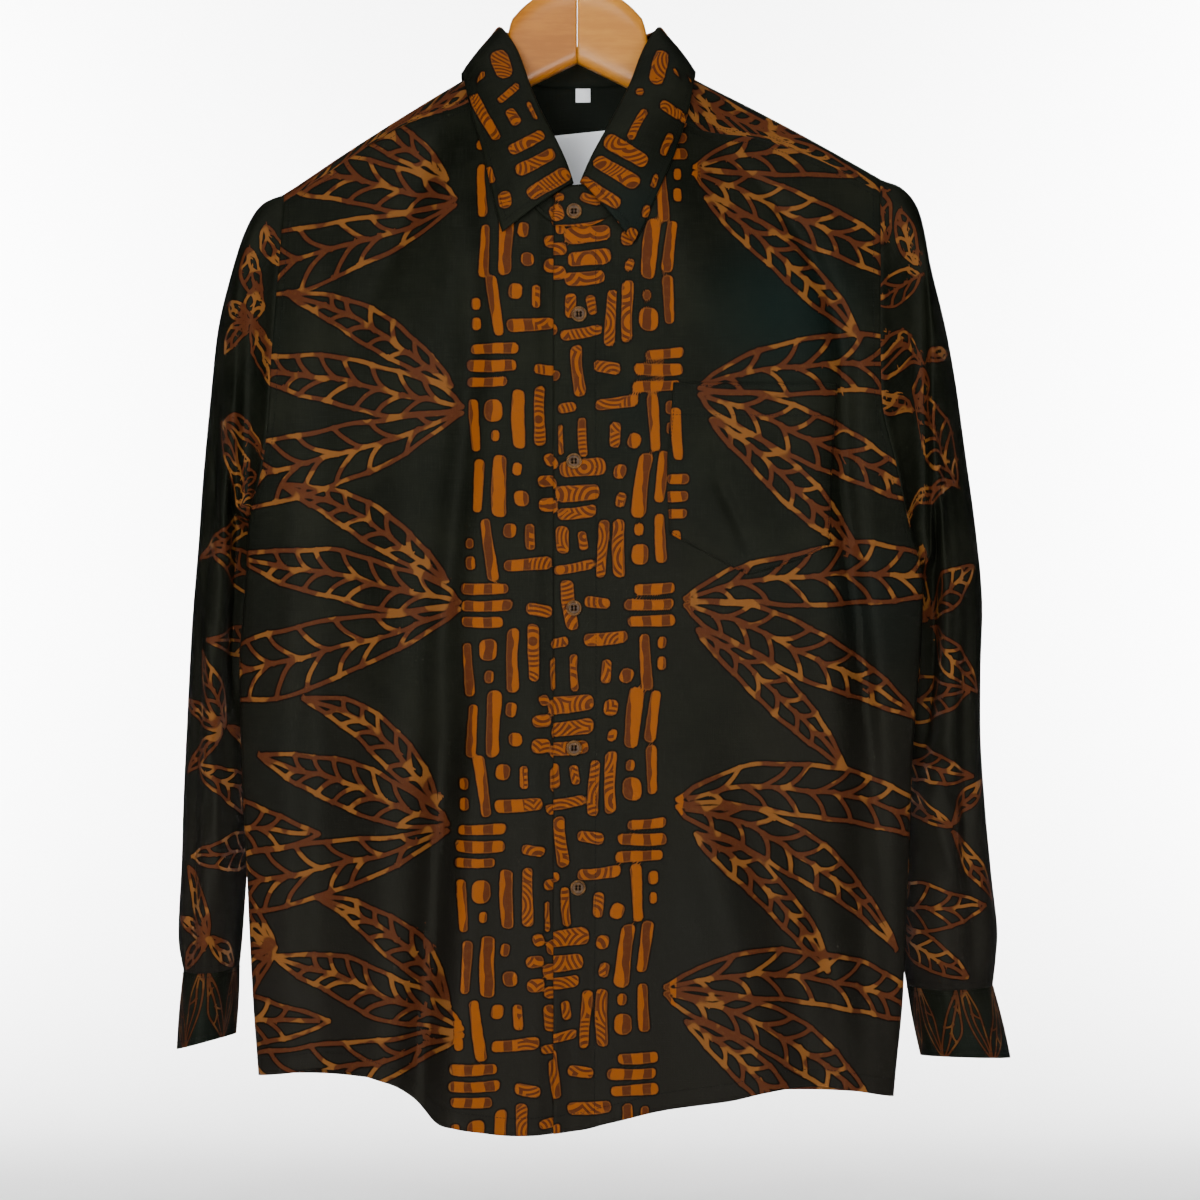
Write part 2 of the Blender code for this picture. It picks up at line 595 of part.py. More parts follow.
def leaf_grid(stand, rows=5):
    """The fall: starts on the top edge of the stand, rolls over it and lies on the shoulders."""
    places = ring_places()
    top = stand[0, 1:-1]
    up = top - stand[1, 1:-1]
    up /= np.linalg.norm(up, axis=1)[:, None]
    along = np.gradient(top, axis=0)
    along /= np.linalg.norm(along, axis=1)[:, None]
    up -= along * np.einsum("ij,ij->i", up, along)[:, None]
    up /= np.linalg.norm(up, axis=1)[:, None]
    away = np.cross(along, up)
    outward = np.einsum("ij,ij->i", away, top * np.array([1, 1.4, 0]))
    away = np.where((outward < 0)[:, None], -away, away)
    runs = {}
    for s in (-1, 1):
        runs[s] = [(x, f * float(run_of(max(float(ridge_z(x)) - z, 0), x, f))) for x, z, f in LEAF[s]]
        runs[s][6] = (runs[s][6][0], 0.0)
    edge = collar_line(runs, places)
    low = on_run(edge[:, 0], edge[:, 1])
    e = 0.5
    dx = on_run(edge[:, 0] + e, edge[:, 1]) - on_run(edge[:, 0] - e, edge[:, 1])
    dt = on_run(edge[:, 0], edge[:, 1] + e) - on_run(edge[:, 0], edge[:, 1] - e)
    n = np.cross(dx, dt)
    n /= np.linalg.norm(n, axis=1)[:, None]
    n = np.where((n[:, 2] * 2 + n[:, 1] * np.sign(low[:, 1]) < 0)[:, None], -n, n)
    place = np.array([fold_place(u) for _, u in places])
    lift = COLLAR_WALL + LEAF_LIFT + 2.2 * np.exp(-((place - 6) / 1.3) ** 2)
    low = low + n * lift[:, None]
    grid = [top + away * side_way + up * rise for side_way, rise in ROLL]
    start = grid[-1]
    for k in range(1, rows + 1):
        w = k / rows
        line = start + (low - start) * w
        swell = 5.0 - 4.2 * np.exp(-((place - 6.4) / 0.8) ** 2)
        grid.append(line + (away + n) * 0.5 * (swell * math.sin(math.pi * w))[:, None])
    under = [top + away * side_way + up * rise for side_way, rise in ROLL_UNDER]
    return np.array(grid), np.array(under)


def normals_of(grids, wraps):
    """One normal at each place, shared by every piece that meets there."""
    total = {}
    key = lambda p: tuple(np.round(p, 1))
    for name, g in grids.items():
        rows, cols = g.shape[:2]
        for i in range(rows - 1):
            for j in range(cols if wraps[name] else cols - 1):
                a, b = g[i, j], g[i, (j + 1) % cols]
                c, d = g[i + 1, (j + 1) % cols], g[i + 1, j]
                n = np.cross(c - a, b - d)
                for p in (a, b, c, d):
                    total[key(p)] = total.get(key(p), 0) + n
    found = {}
    for name, g in grids.items():
        n = np.array([[total[key(p)] for p in row] for row in g])
        found[name] = n / np.maximum(np.linalg.norm(n, axis=-1), 1e-9)[..., None]
    return found


def pull(edge, near, amount, closed=False):
    """The edge moved over its own surface, square to itself, away from the seam."""
    along = np.roll(edge, -1, 0) - np.roll(edge, 1, 0) if closed else np.gradient(edge, axis=0)
    along /= np.maximum(np.linalg.norm(along, axis=-1), 1e-9)[:, None]
    way = near - edge
    way = way - along * np.einsum("ij,ij->i", way, along)[:, None]
    return edge + way / np.maximum(np.linalg.norm(way, axis=-1), 1e-9)[:, None] * amount


def trimmed(g, wrap):
    """The grid drawn back from its own edges by half a seam gap."""
    cut = g.copy()
    cut[0] = pull(g[0], g[1], GAP, wrap)
    cut[-1] = pull(g[-1], g[-2], GAP, wrap)
    if not wrap:
        cut[:, 0] = pull(cut[:, 0], g[:, 1], GAP)
        cut[:, -1] = pull(cut[:, -1], g[:, -2], GAP)
    return cut


def material(name, color, rough, metal=0.0):
    m = bpy.data.materials.new(name)
    m.use_nodes = True
    p = m.node_tree.nodes["Principled BSDF"]
    p.inputs["Base Color"].default_value = (*color, 1)
    p.inputs["Roughness"].default_value = rough
    p.inputs["Metallic"].default_value = metal
    return m


def add_mesh(name, points, faces, color, rough, metal=0.0):
    mesh = bpy.data.meshes.new(name)
    mesh.from_pydata([tuple(p) for p in np.asarray(points) * 0.001], [], faces)
    mesh.validate()
    mesh.update()
    obj = bpy.data.objects.new(name, mesh)
    bpy.context.scene.collection.objects.link(obj)
    mesh.materials.append(material(name + "_finish", color, rough, metal))
    return obj


def shell(name, outer, inner, wrap, color, rough=0.8):
    """A closed sheet between two grids of the same size."""
    rows, cols = outer.shape[:2]
    n = rows * cols
    points = np.concatenate([outer.reshape(-1, 3), inner.reshape(-1, 3)])
    faces = []
    at_ = lambda i, j: i * cols + j % cols
    last = cols if wrap else cols - 1
    weigh = points @ np.array([1.0, 2.3, 5.1])

    def rim(a, b):
        # the same diagonal on both sides of a seam, so that the two end faces don't cross
        if weigh[a] < weigh[b]:
            faces.extend([(a, b, b + n), (a, b + n, a + n)])
        else:
            faces.extend([(a, b, a + n), (b, b + n, a + n)])

    for i in range(rows - 1):
        for j in range(last):
            a, b, c, d = at_(i, j), at_(i, j + 1), at_(i + 1, j + 1), at_(i + 1, j)
            faces.append((a, d, c, b))
            faces.append((a + n, b + n, c + n, d + n))
    for j in range(last):
        rim(at_(0, j), at_(0, j + 1))
        rim(at_(rows - 1, j + 1), at_(rows - 1, j))
    if not wrap:
        for i in range(rows - 1):
            rim(at_(i + 1, 0), at_(i, 0))
            rim(at_(i, cols - 1), at_(i + 1, cols - 1))
    obj = add_mesh(name, points, faces, color, rough)
    face_out(obj)
    return obj


def face_out(obj):
    mesh = obj.data
    mesh.calc_loop_triangles()
    v = np.array([p.co for p in mesh.vertices])
    t = np.array([p.vertices for p in mesh.loop_triangles])
    if np.einsum("ij,ij->i", v[t[:, 0]], np.cross(v[t[:, 1]], v[t[:, 2]])).sum() < 0:
        mesh.flip_normals()


def disc(name, centre, normal, radius, rings, color, rough, sides=14):
    """A turned piece: rings are (radius, height) from the middle of the back to the middle of the front."""
    normal = np.asarray(normal, float)
    normal /= np.linalg.norm(normal)
    u = np.cross(normal, (0, 0, 1))
    u /= np.linalg.norm(u)
    w = np.cross(normal, u)
    points = []
    faces = []
    points.append(centre + normal * rings[0][1])
    for r, h in rings[1:-1]:
        for k in range(sides):
            a = 2 * math.pi * k / sides
            points.append(centre + normal * h + (u * math.cos(a) + w * math.sin(a)) * r)
    points.append(centre + normal * rings[-1][1])
    count = len(rings) - 2
    for k in range(sides):
        faces.append((0, 1 + k, 1 + (k + 1) % sides))
        top = 1 + (count - 1) * sides
        faces.append((len(points) - 1, top + (k + 1) % sides, top + k))
        for i in range(count - 1):
            a = 1 + i * sides
            faces.append((a + k, a + sides + k, a + sides + (k + 1) % sides, a + (k + 1) % sides))
    obj = add_mesh(name, points, faces, color, rough)
    face_out(obj)
    return obj


def button(name, place, normal, radius=BUTTON_DIA / 2):
    r, t = radius, BUTTON_THICK
    rings = [(0, 0), (r * 0.72, 0), (r * 0.97, t * 0.35), (r, t * 0.7), (r * 0.86, t), (r * 0.68, t * 0.72), (0, t * 0.66)]
    return disc(name, place, normal, r, rings, (0.30, 0.17, 0.08), 0.35)


def tube(name, path, radius, color, rough, metal, sides=12):
    path = np.asarray(path, float)
    way = np.gradient(path, axis=0)
    way /= np.linalg.norm(way, axis=1)[:, None]
    points, faces = [], []
    for p, d in zip(path, way):
        u = np.array([0, 1.0, 0])
        w = np.cross(d, u)
        w /= np.linalg.norm(w)
        for k in range(sides):
            a = 2 * math.pi * k / sides
            points.append(p + (u * math.cos(a) + w * math.sin(a)) * radius)
    n = len(path)
    for i in range(n - 1):
        for k in range(sides):
            a, b = i * sides + k, i * sides + (k + 1) % sides
            faces.append((a, b, b + sides, a + sides))
    faces.append(tuple(range(sides))[::-1])
    faces.append(tuple((n - 1) * sides + k for k in range(sides)))
    obj = add_mesh(name, points, faces, color, rough, metal)
    face_out(obj)
    return obj


def wood_arm(name, side, color):
    """Half of the hanger: a rounded section at each station along X."""
    points, faces = [], []
    n = WOOD_PARTS
    for x, top, low, half in WOOD:
        mid, tall = (top + low) / 2, (top - low) / 2
        drop = 0.0
        if side > 0 and x > 60:
            drop = (x - 60) * 0.085
        for k in range(n):
            a = 2 * math.pi * (k + 0.5) / n
            c, s = math.cos(a), math.sin(a)
            px = side * x
            py = half * math.copysign(abs(c) ** 0.6, c)
            pz = mid + drop + tall * math.copysign(abs(s) ** 0.6, s)
            points.append((px, py, pz))
    rows = len(WOOD)
    for i in range(rows - 1):
        for k in range(n):
            a, b = i * n + k, i * n + (k + 1) % n
            faces.append((a, b, b + n, a + n))
    faces.append(tuple(range(n))[::-1])
    faces.append(tuple((rows - 1) * n + k for k in range(n)))
    obj = add_mesh(name, points, faces, color, 0.4)
    face_out(obj)
    return obj


def patch_on_front(name, x, z, lift, thick, color, face=1, side=1):
    """A flat piece that lies on a panel: its points are the panel's own, moved out."""
    p = at(x, z, face)
    eps = 1.0
    dx = at(x + eps, z, face) - at(x - eps, z, face)
    dz = at(x, z + eps, face) - at(x, z - eps, face)
    n = np.cross(dx, dz)
    n /= np.linalg.norm(n, axis=-1)[..., None]
    n = np.where((n[..., 1] * face > 0)[..., None], -n, n)
    near = p + n * lift
    far = p + n * (lift + thick)
    return shell(name, far, near, False, color)


def turned_out(g, wrap, core):
    """The grid with its columns in the order that makes its normals point away from core."""
    i, j = len(g) // 2, len(g[0]) // 3
    n = np.cross(g[i + 1, j] - g[i, j], g[i, j + 1] - g[i, j])
    if np.dot(n, g[i, j] - core) > 0:
        return g
    return np.concatenate([g[:, :1], g[:, :0:-1]], 1) if wrap else g[:, ::-1]


def pocket_grid(rows=7, cols=7):
    z_side = [row[0] for row in POCKET_ROWS][::-1]
    left = [row[1] for row in POCKET_ROWS][::-1]
    right = [row[2] for row in POCKET_ROWS][::-1]
    f = np.linspace(0, 1, cols + 1)
    xb = left[0] + (right[0] - left[0]) * f
    point = np.array(POCKET_POINT)
    zb = np.interp(xb, point[:, 0], point[:, 1])
    z = z_side[-1] + (zb - z_side[-1])[None, :] * np.linspace(0, 1, rows + 1)[:, None]
    xl, xr = smooth(z_side, left, z), smooth(z_side, right, z)
    return xl + (xr - xl) * f[None, :], z


def tag_grid(x1, x2, z1, z2, tilt, n=4):
    x, z = np.meshgrid(np.linspace(x1, x2, n + 1), np.linspace(z1, z2, n + 1))
    return x, z + (x - (x1 + x2) / 2) * tilt


def main():
    for obj in list(bpy.data.objects):
        bpy.data.objects.remove(obj, do_unlink=True)

    cloth = (0.030, 0.028, 0.020)
    front_r = front_grid(-1)
    front_l = front_grid(1)
    back = back_grid()
    yoke = yoke_grid()
    stand = stand_grid(collar_base(front_r, front_l, yoke))
    body = np.array([0, -5, -500.0])
    neck = np.array([0, 0, -160.0])
    grids = {
        "front_right": turned_out(front_r, False, body),
        "front_left": turned_out(front_l, False, body),
        "back": turned_out(back, False, body),
        "yoke": turned_out(yoke, False, np.array([0, 0, -400.0])),
        "collar_stand": turned_out(stand, False, neck),
    }
    for name, side in (("sleeve_right", -1), ("sleeve_left", 1)):
        loop = loop_of(side, front_r if side < 0 else front_l, back, yoke)
        g = sleeve_grid(side, loop)
        grids[name] = turned_out(g, True, g[len(g) // 2].mean(0))
        cuff = cuff_grid(side, g[-1])
        name = name.replace("sleeve", "cuff")
        grids[name] = turned_out(cuff, False, cuff[1].mean(0))
    wraps = {name: name.startswith("sleeve") for name in grids}
    found = normals_of(grids, wraps)
    for name, g in grids.items():
        wall = COLLAR_WALL if name == "collar_stand" else WALL
        outer = trimmed(g, wraps[name])
        shell(name, outer, outer - found[name] * wall, wraps[name], cloth)

    leaf, under = leaf_grid(stand)
    n = normals_of({"leaf": leaf}, {"leaf": False})["leaf"]
    if n[-2, 3, 1] > 0:
        n = -n
    inner = leaf - n * COLLAR_WALL
    inner[: len(under)] = under
    shell("collar_fall", leaf, inner, False, cloth)

    x, z = pocket_grid()
    patch_on_front("pocket", x, z, 0.6, 1.2, cloth)
    pale = (0.75, 0.74, 0.70)
    x, z = tag_grid(-36, 36, -166, -218, 0.1)
    patch_on_front("neck_label", x, z, -WALL - 1.1, 0.6, pale, face=-1)
    x, z = tag_grid(-2, 10.3, -135, -145, 0.0, 1)
    patch_on_front("size_tab", x, z, -WALL - 1.1, 0.6, pale, face=-1)

    for k, (x, z) in enumerate(BUTTONS):
        y = -float(out(np.array(x), np.array(z), 1)) - 0.9
        if k == 0:
            y = float(grids["collar_stand"][..., 1].min()) - 0.3
        button(f"button_{k + 1}", np.array([x, y, z]), (0, -1, 0))
    for name in ("cuff_right", "cuff_left"):
        g = grids[name]
        middle = g[1:3].reshape(-1, 3)
        spot = middle[middle[:, 1].argmax()]
        place = np.array([spot[0], spot[1] + 0.3, middle[:, 2].mean()])
        button(name.replace("cuff", "cuff_button"), place, (0, 1, 0), BUTTON_DIA / 2 - 0.5)

    hook_turn = np.radians(np.linspace(-90, 205, 26))
    hook = [(0, 0, WOOD_TOP + 0.7), (0, 0, WOOD_TOP + 8), (0, 0, -44.5)]
    hook += [(HOOK_RADIUS * math.cos(a), 0, -20 + HOOK_RADIUS * math.sin(a)) for a in hook_turn]
    tube("hanger_hook", hook, HOOK_WIRE / 2, (0.62, 0.62, 0.60), 0.3, 1.0, 10)
    wood_arm("hanger_arm_right", -1, (0.55, 0.31, 0.12))
    wood_arm("hanger_arm_left", 1, (0.50, 0.27, 0.10))


main()
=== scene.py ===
"""A long-sleeved batik shirt, buttoned up and hung on a varnished wooden hanger.

Every piece is a grid of points on the outer face of its cloth, worked out from short tables
in millimetres and given a thin wall. The print is drawn on the cloth's own flat measure:
each point knows how far it lies from the nearest drawn line, and the dye turns over there.
Left and right are the wearer's: the wearer's left is +X. The front faces -Y.
"""

import json
import math
from functools import partial

import bpy
import numpy as np
from mathutils import Vector
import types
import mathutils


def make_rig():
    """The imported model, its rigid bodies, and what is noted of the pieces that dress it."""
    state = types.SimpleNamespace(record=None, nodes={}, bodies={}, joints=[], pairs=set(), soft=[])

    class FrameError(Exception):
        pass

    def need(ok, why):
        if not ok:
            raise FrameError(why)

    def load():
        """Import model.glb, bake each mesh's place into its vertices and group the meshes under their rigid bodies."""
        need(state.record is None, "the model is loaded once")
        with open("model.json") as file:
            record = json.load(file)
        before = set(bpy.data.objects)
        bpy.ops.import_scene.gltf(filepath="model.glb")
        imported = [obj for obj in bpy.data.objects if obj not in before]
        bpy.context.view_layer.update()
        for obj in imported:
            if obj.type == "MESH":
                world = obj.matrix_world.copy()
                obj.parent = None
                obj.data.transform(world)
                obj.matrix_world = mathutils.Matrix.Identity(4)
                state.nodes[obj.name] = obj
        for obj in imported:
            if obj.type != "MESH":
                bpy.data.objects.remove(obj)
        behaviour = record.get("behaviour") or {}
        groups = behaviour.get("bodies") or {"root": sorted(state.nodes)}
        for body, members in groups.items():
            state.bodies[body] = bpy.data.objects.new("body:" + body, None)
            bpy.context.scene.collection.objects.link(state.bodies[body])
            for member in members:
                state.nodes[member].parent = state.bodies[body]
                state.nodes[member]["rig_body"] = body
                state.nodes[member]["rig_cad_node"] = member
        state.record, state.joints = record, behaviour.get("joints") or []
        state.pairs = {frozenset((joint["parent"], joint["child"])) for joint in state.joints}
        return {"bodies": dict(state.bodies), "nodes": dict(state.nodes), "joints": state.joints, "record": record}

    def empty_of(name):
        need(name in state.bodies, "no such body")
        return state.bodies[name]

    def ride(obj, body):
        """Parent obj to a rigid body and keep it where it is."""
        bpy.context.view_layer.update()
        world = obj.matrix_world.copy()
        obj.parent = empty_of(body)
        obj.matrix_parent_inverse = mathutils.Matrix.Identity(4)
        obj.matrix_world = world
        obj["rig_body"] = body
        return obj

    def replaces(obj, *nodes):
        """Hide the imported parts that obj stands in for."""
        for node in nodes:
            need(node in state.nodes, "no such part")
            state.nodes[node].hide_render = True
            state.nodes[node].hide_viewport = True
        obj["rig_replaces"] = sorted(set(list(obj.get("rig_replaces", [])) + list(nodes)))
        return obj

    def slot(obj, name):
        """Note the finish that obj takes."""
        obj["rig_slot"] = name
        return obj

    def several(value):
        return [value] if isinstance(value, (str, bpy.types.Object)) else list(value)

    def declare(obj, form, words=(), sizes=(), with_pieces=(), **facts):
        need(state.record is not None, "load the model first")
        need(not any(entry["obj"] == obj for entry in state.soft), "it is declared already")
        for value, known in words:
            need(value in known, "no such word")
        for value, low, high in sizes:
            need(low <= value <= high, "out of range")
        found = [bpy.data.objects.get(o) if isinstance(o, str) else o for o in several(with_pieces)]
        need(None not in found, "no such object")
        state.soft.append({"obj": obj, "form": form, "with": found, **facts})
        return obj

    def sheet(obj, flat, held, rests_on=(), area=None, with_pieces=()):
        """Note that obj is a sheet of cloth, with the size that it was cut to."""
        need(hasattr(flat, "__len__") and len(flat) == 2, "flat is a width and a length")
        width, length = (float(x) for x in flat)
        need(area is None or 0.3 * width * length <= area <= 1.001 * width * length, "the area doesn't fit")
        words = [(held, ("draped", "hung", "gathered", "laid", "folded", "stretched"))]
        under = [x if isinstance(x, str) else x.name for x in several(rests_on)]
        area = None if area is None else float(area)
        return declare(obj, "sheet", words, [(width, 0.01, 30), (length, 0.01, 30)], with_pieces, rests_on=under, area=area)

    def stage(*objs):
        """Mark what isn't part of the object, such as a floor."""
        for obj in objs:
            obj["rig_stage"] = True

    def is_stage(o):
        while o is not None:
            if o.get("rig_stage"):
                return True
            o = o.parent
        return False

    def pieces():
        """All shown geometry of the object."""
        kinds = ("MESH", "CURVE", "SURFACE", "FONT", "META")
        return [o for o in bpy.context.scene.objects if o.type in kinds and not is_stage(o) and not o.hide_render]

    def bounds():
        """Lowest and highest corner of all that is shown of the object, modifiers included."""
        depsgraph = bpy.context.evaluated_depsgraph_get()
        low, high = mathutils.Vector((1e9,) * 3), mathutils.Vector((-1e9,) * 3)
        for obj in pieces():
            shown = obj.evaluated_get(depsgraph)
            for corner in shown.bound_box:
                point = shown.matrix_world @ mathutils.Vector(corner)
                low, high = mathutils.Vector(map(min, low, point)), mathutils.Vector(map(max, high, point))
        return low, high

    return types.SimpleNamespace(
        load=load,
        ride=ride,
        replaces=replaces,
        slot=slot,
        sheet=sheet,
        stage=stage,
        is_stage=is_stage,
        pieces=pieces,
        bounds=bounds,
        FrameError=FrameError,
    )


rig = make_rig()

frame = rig.load()
cad_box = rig.bounds()

CLOTH = 0.8
COLLAR_CLOTH = 1.3
PLACKET_HALF = 17.0
PLACKET_STEP = 2.6
BUTTON_DIA = 11.5
RIDGE_RADIUS = 9.5
NECK_RADIUS = 36.0
FRONT_SLOPE = 0.28
BACK_SLOPE = 0.30
SECTION_POWER = 2.4
# half the depth of the body at its side seams, and how softly the shoulders run into the panels
SIDE_HALF = 15
SHOULDER_BLEND = 8
# how deep the armhole is cut behind the side of the body, at its top and more at its foot
HOLE_DEEP = (9, 70)
# x over which the right front steps back under the placket
UNDER_STEP = (-32, -19)
# how the seam between yoke and back falls: its height in the middle, and how much lower its ends are
BACK_SEAM = (-238.0, 50.0)
# the wearer's right is -1 in every table with sides, the left 1
HANDS = {"right": -1, "left": 1}
UNDERARM = {-1: -470.0, 1: -506.0}
TIP = {-1: (-222.5, -218.0), 1: (230.0, -206.6)}
HOOK_RADIUS = 22.0
HOOK_WIRE = 4.0
WOOD_TOP = -60.0

# z, left edge x, right edge x, depth of the front, depth of the back
TORSO = np.array([
    (-925, -238.5, 237.0, 59, 40),
    (-888, -240.4, 240.0, 59, 40),
    (-836, -244.2, 245.2, 60, 41),
    (-772, -247.6, 248.4, 61, 42),
    (-735, -249.2, 249.9, 61, 42),
    (-691, -251.8, 251.6, 62, 42),
    (-643, -253.6, 253.2, 63, 43),
    (-602, -254.6, 256.5, 64, 43),
    (-577, -255.0, 258.6, 64, 43),
    (-540, -252.6, 260.2, 65, 43),
    (-506, -249.4, 259.5, 65, 43),
    (-470, -246.9, 249.0, 65, 43),
    (-421, -234.6, 237.6, 64, 43),
    (-383, -230.3, 228.6, 63, 43),
    (-346, -228.6, 227.2, 61, 43),
    (-287, -225.2, 228.0, 59, 43),
    (-237, -222.6, 229.0, 57, 43),
    (-180, -221.0, 229.5, 56, 43),
    (-90, -221.0, 229.5, 56, 43),
], float)

# x, z of the line that the shoulders hang from
RIDGE = np.array([
    (-250, -234.0), (-222.5, -218.0), (-176, -187.2), (-130, -158.0), (-84.5, -130.8),
    (-68, -121.5), (-40, -106.0), (0, -98.0), (40, -105.5), (68, -119.5), (87, -130.0),
    (136, -154.8), (185, -181.2), (230, -206.6), (255, -221.0),
], float)

# x, z of the front hem, and how far out its side corners lie
HEM_SIDE = 239.0
HEM = np.array([
    (-240, -884.8), (-215, -881.3), (-192, -878.3), (-168, -878.9), (-147, -883.1),
    (-132, -889.0), (-122, -897.5), (-113, -907.2), (-107, -913.0), (-90, -917.8),
    (-74, -920.6), (-54, -923.2), (-31, -923.2), (-17, -922.1), (6, -919.0),
    (20, -915.0), (32, -912.3), (54, -907.3), (96, -901.1), (115, -898.4),
    (141, -892.3), (154, -890.6), (179, -890.4), (187, -891.0), (210, -894.9),
    (242, -901.2),
], float)

# x, drop below the ridge of the seam between yoke and front
YOKE_FRONT = np.array([
    (-230, 7.0), (-176, 7.6), (-132, 8.2), (-87, 22.0), (-66, 26.0),
    (66, 42.0), (87, 41.0), (136, 23.0), (180, 14.0), (235, 12.0),
], float)

# x, z, side (1 front, -1 back) round the neck seam, from the front to the middle of the back
NECK = {
    -1: [(0, -249.6, 1), (-12, -248, 1), (-26, -240, 1), (-40, -223, 1), (-51, -201, 1),
         (-60, -174, 1), (-66, -147, 1), (-69.5, -122.8, 1), (-66, -124.5, -1),
         (-57, -126, -1), (-42, -128.5, -1), (-22, -130.8, -1), (0, -131.5, -1)],
    1: [(0, -249.6, 1), (12, -248, 1), (26, -240, 1), (41, -223, 1), (52, -204, 1),
        (60, -184, 1), (65.5, -160.5, 1), (69.5, -120.8, 1), (66, -123, -1),
        (57, -125.5, -1), (42, -128.5, -1), (22, -130.8, -1), (0, -131.5, -1)],
}
NECK_CORNER, NECK_SIDE, NECK_LAST = 6, 7, 12
SHOULDER_X = 69.5

# x, y, z along the fold of the collar, from the front to the middle of the back
FOLD = {
    -1: [(-5.5, -57.0, -218), (-12, -54.5, -199), (-21.5, -49, -179), (-30, -43, -162),
         (-38.5, -32, -141), (-47.5, -19, -115), (-57.5, -4, -96.5), (-57.5, 13, -95),
         (-46, 28, -97), (-25, 37, -101), (0, 39.5, -102.5)],
    1: [(5.5, -57.0, -218), (14, -54.5, -198), (25, -49, -177), (34, -42, -159),
        (43, -31, -140), (52, -18.5, -115), (61, -4, -96.5), (60, 13, -95),
        (48, 28, -97), (25, 37, -101), (0, 39.5, -102.5)],
}
# x, z, side along the outer edge of the collar, one row to each row of FOLD
LEAF = {
    -1: [(-55, -253.4, 1), (-59.5, -237, 1), (-62.5, -222, 1), (-66, -206, 1),
         (-70, -188, 1), (-77, -162, 1), (-85.5, -134.5, 1), (-83, -138, -1),
         (-70, -147, -1), (-38, -155, -1), (0, -157.5, -1)],
    1: [(43, -262.0, 1), (51, -246, 1), (58.5, -227, 1), (66, -209, 1),
        (73, -190, 1), (81.5, -160, 1), (87.5, -133.5, 1), (84, -137, -1),
        (70, -147, -1), (38, -155, -1), (0, -157.5, -1)],
}
# way out and way up from the top of the stand, through the roll of the fall
ROLL = [(-1.5, 0.3), (-1.3, 2.2), (0.5, 3.6), (2.8, 3.0), (4.0, 0.8)]
ROLL_UNDER = [(0.0, 0.3), (0.1, 1.4), (0.7, 2.1), (1.6, 1.7), (2.5, 0.5)]
LEAF_LIFT = 2.2
CUFF_LAP = 2.8

# x and z at the top, x and z at the bottom, width, depth (minus is a valley), side
FOLDS = [
    (-88, -540, -119, -925, 13, -13, 1),
    (-66, -560, -86, -925, 20, 4, 1),
    (-146, -600, -160, -925, 22, 4, 1),
    (-200, -520, -205, -925, 20, -5, 1),
    (203, -260, 212, -590, 11, -5, 1),
    (212, -500, 222, -925, 13, -7, 1),
    (176, -620, 196, -925, 22, 5, 1),
    (70, -640, 74, -925, 30, -5, 1),
    (-190, -240, -196, -480, 16, -4, 1),
    (-120, -330, -100, -925, 34, -8, -1),
    (-40, -330, -30, -925, 34, 6, -1),
    (60, -330, 50, -925, 38, -8, -1),
    (140, -380, 150, -925, 34, 6, -1),
]

# outer x, outer y, outer z, inner x, inner y, inner z, half depth, end bulge
SLEEVE = {
    -1: [
        (-240.4, 2, -226.4, -251.5, -13, -467.5, 31),
        (-253.0, 5, -246.5, -255.0, -9, -469.5, 33),
        (-264.6, 10, -281.0, -256.4, -3, -475.5, 36),
        (-274.0, 16, -318.0, -255.6, 4, -485, 39),
        (-279.6, 22, -362.0, -253.6, 12, -498, 43),
        (-286.8, 28, -431.0, -252.0, 21, -515, 46),
        (-290.8, 33, -480.0, -251.2, 28, -537, 49),
        (-295.6, 36, -534.0, -252.0, 34, -564, 50),
        (-298.4, 38, -577.0, -251.4, 37, -592, 51),
        (-301.0, 38, -630.0, -251.0, 38, -634, 51),
        (-303.3, 38, -680.0, -252.5, 38, -682, 51),
        (-304.6, 38, -728.0, -255.0, 38, -729, 52),
        (-306.7, 38, -768.0, -257.6, 38, -768, 53),
        (-306.6, 38, -790.0, -259.3, 38, -790, 54),
        (-303.0, 38, -809.6, -261.2, 38, -807.6, 52),
    ],
    1: [
        (247.6, 2, -214.0, 263.0, -13, -503.5, 31),
        (260.6, 6, -232.0, 265.6, -9, -505.5, 33),
        (269.6, 9, -274.0, 266.8, -3, -511.5, 36),
        (280.6, 14, -317.0, 266.0, 4, -521, 39),
        (289.4, 20, -362.0, 264.2, 12, -534, 43),
        (296.8, 25, -411.3, 262.0, 21, -550, 46),
        (305.6, 30, -472.0, 259.6, 28, -568, 49),
        (311.0, 34, -526.0, 256.0, 34, -588, 50),
        (310.2, 37, -580.0, 254.0, 38, -614, 50),
        (310.4, 38, -634.0, 251.6, 38, -650, 50),
        (314.0, 38, -688.0, 250.0, 38, -694, 50),
        (319.0, 38, -740.0, 248.8, 38, -742, 50),
        (323.2, 38, -778.0, 248.8, 38, -780, 50),
        (322.2, 38, -800.0, 250.4, 38, -801, 49),
        (319.8, 38, -821.8, 253.8, 38, -822.4, 44),
    ],
}
# outer x and z, inner x and z, half depth at the bottom of each cuff
CUFF_END = {-1: (-308.2, -871.8, -264.0, -860.5, 54), 1: (333.5, -878.6, 264.5, -877.0, 45)}
CUFF_Y = 38.0

# angle round the arm, first row, last row, width in degrees, depth as a part of the section
SLEEVE_FOLDS = {
    -1: [(62, 4, 10, 17, -0.13), (122, 3, 14, 16, -0.13), (236, 3, 14, 18, -0.15),
         (300, 5, 14, 18, -0.12)],
    1: [(66, 4, 9, 17, -0.13), (118, 4, 14, 16, -0.15), (240, 3, 14, 18, -0.14),
        (296, 5, 14, 18, -0.12)],
}

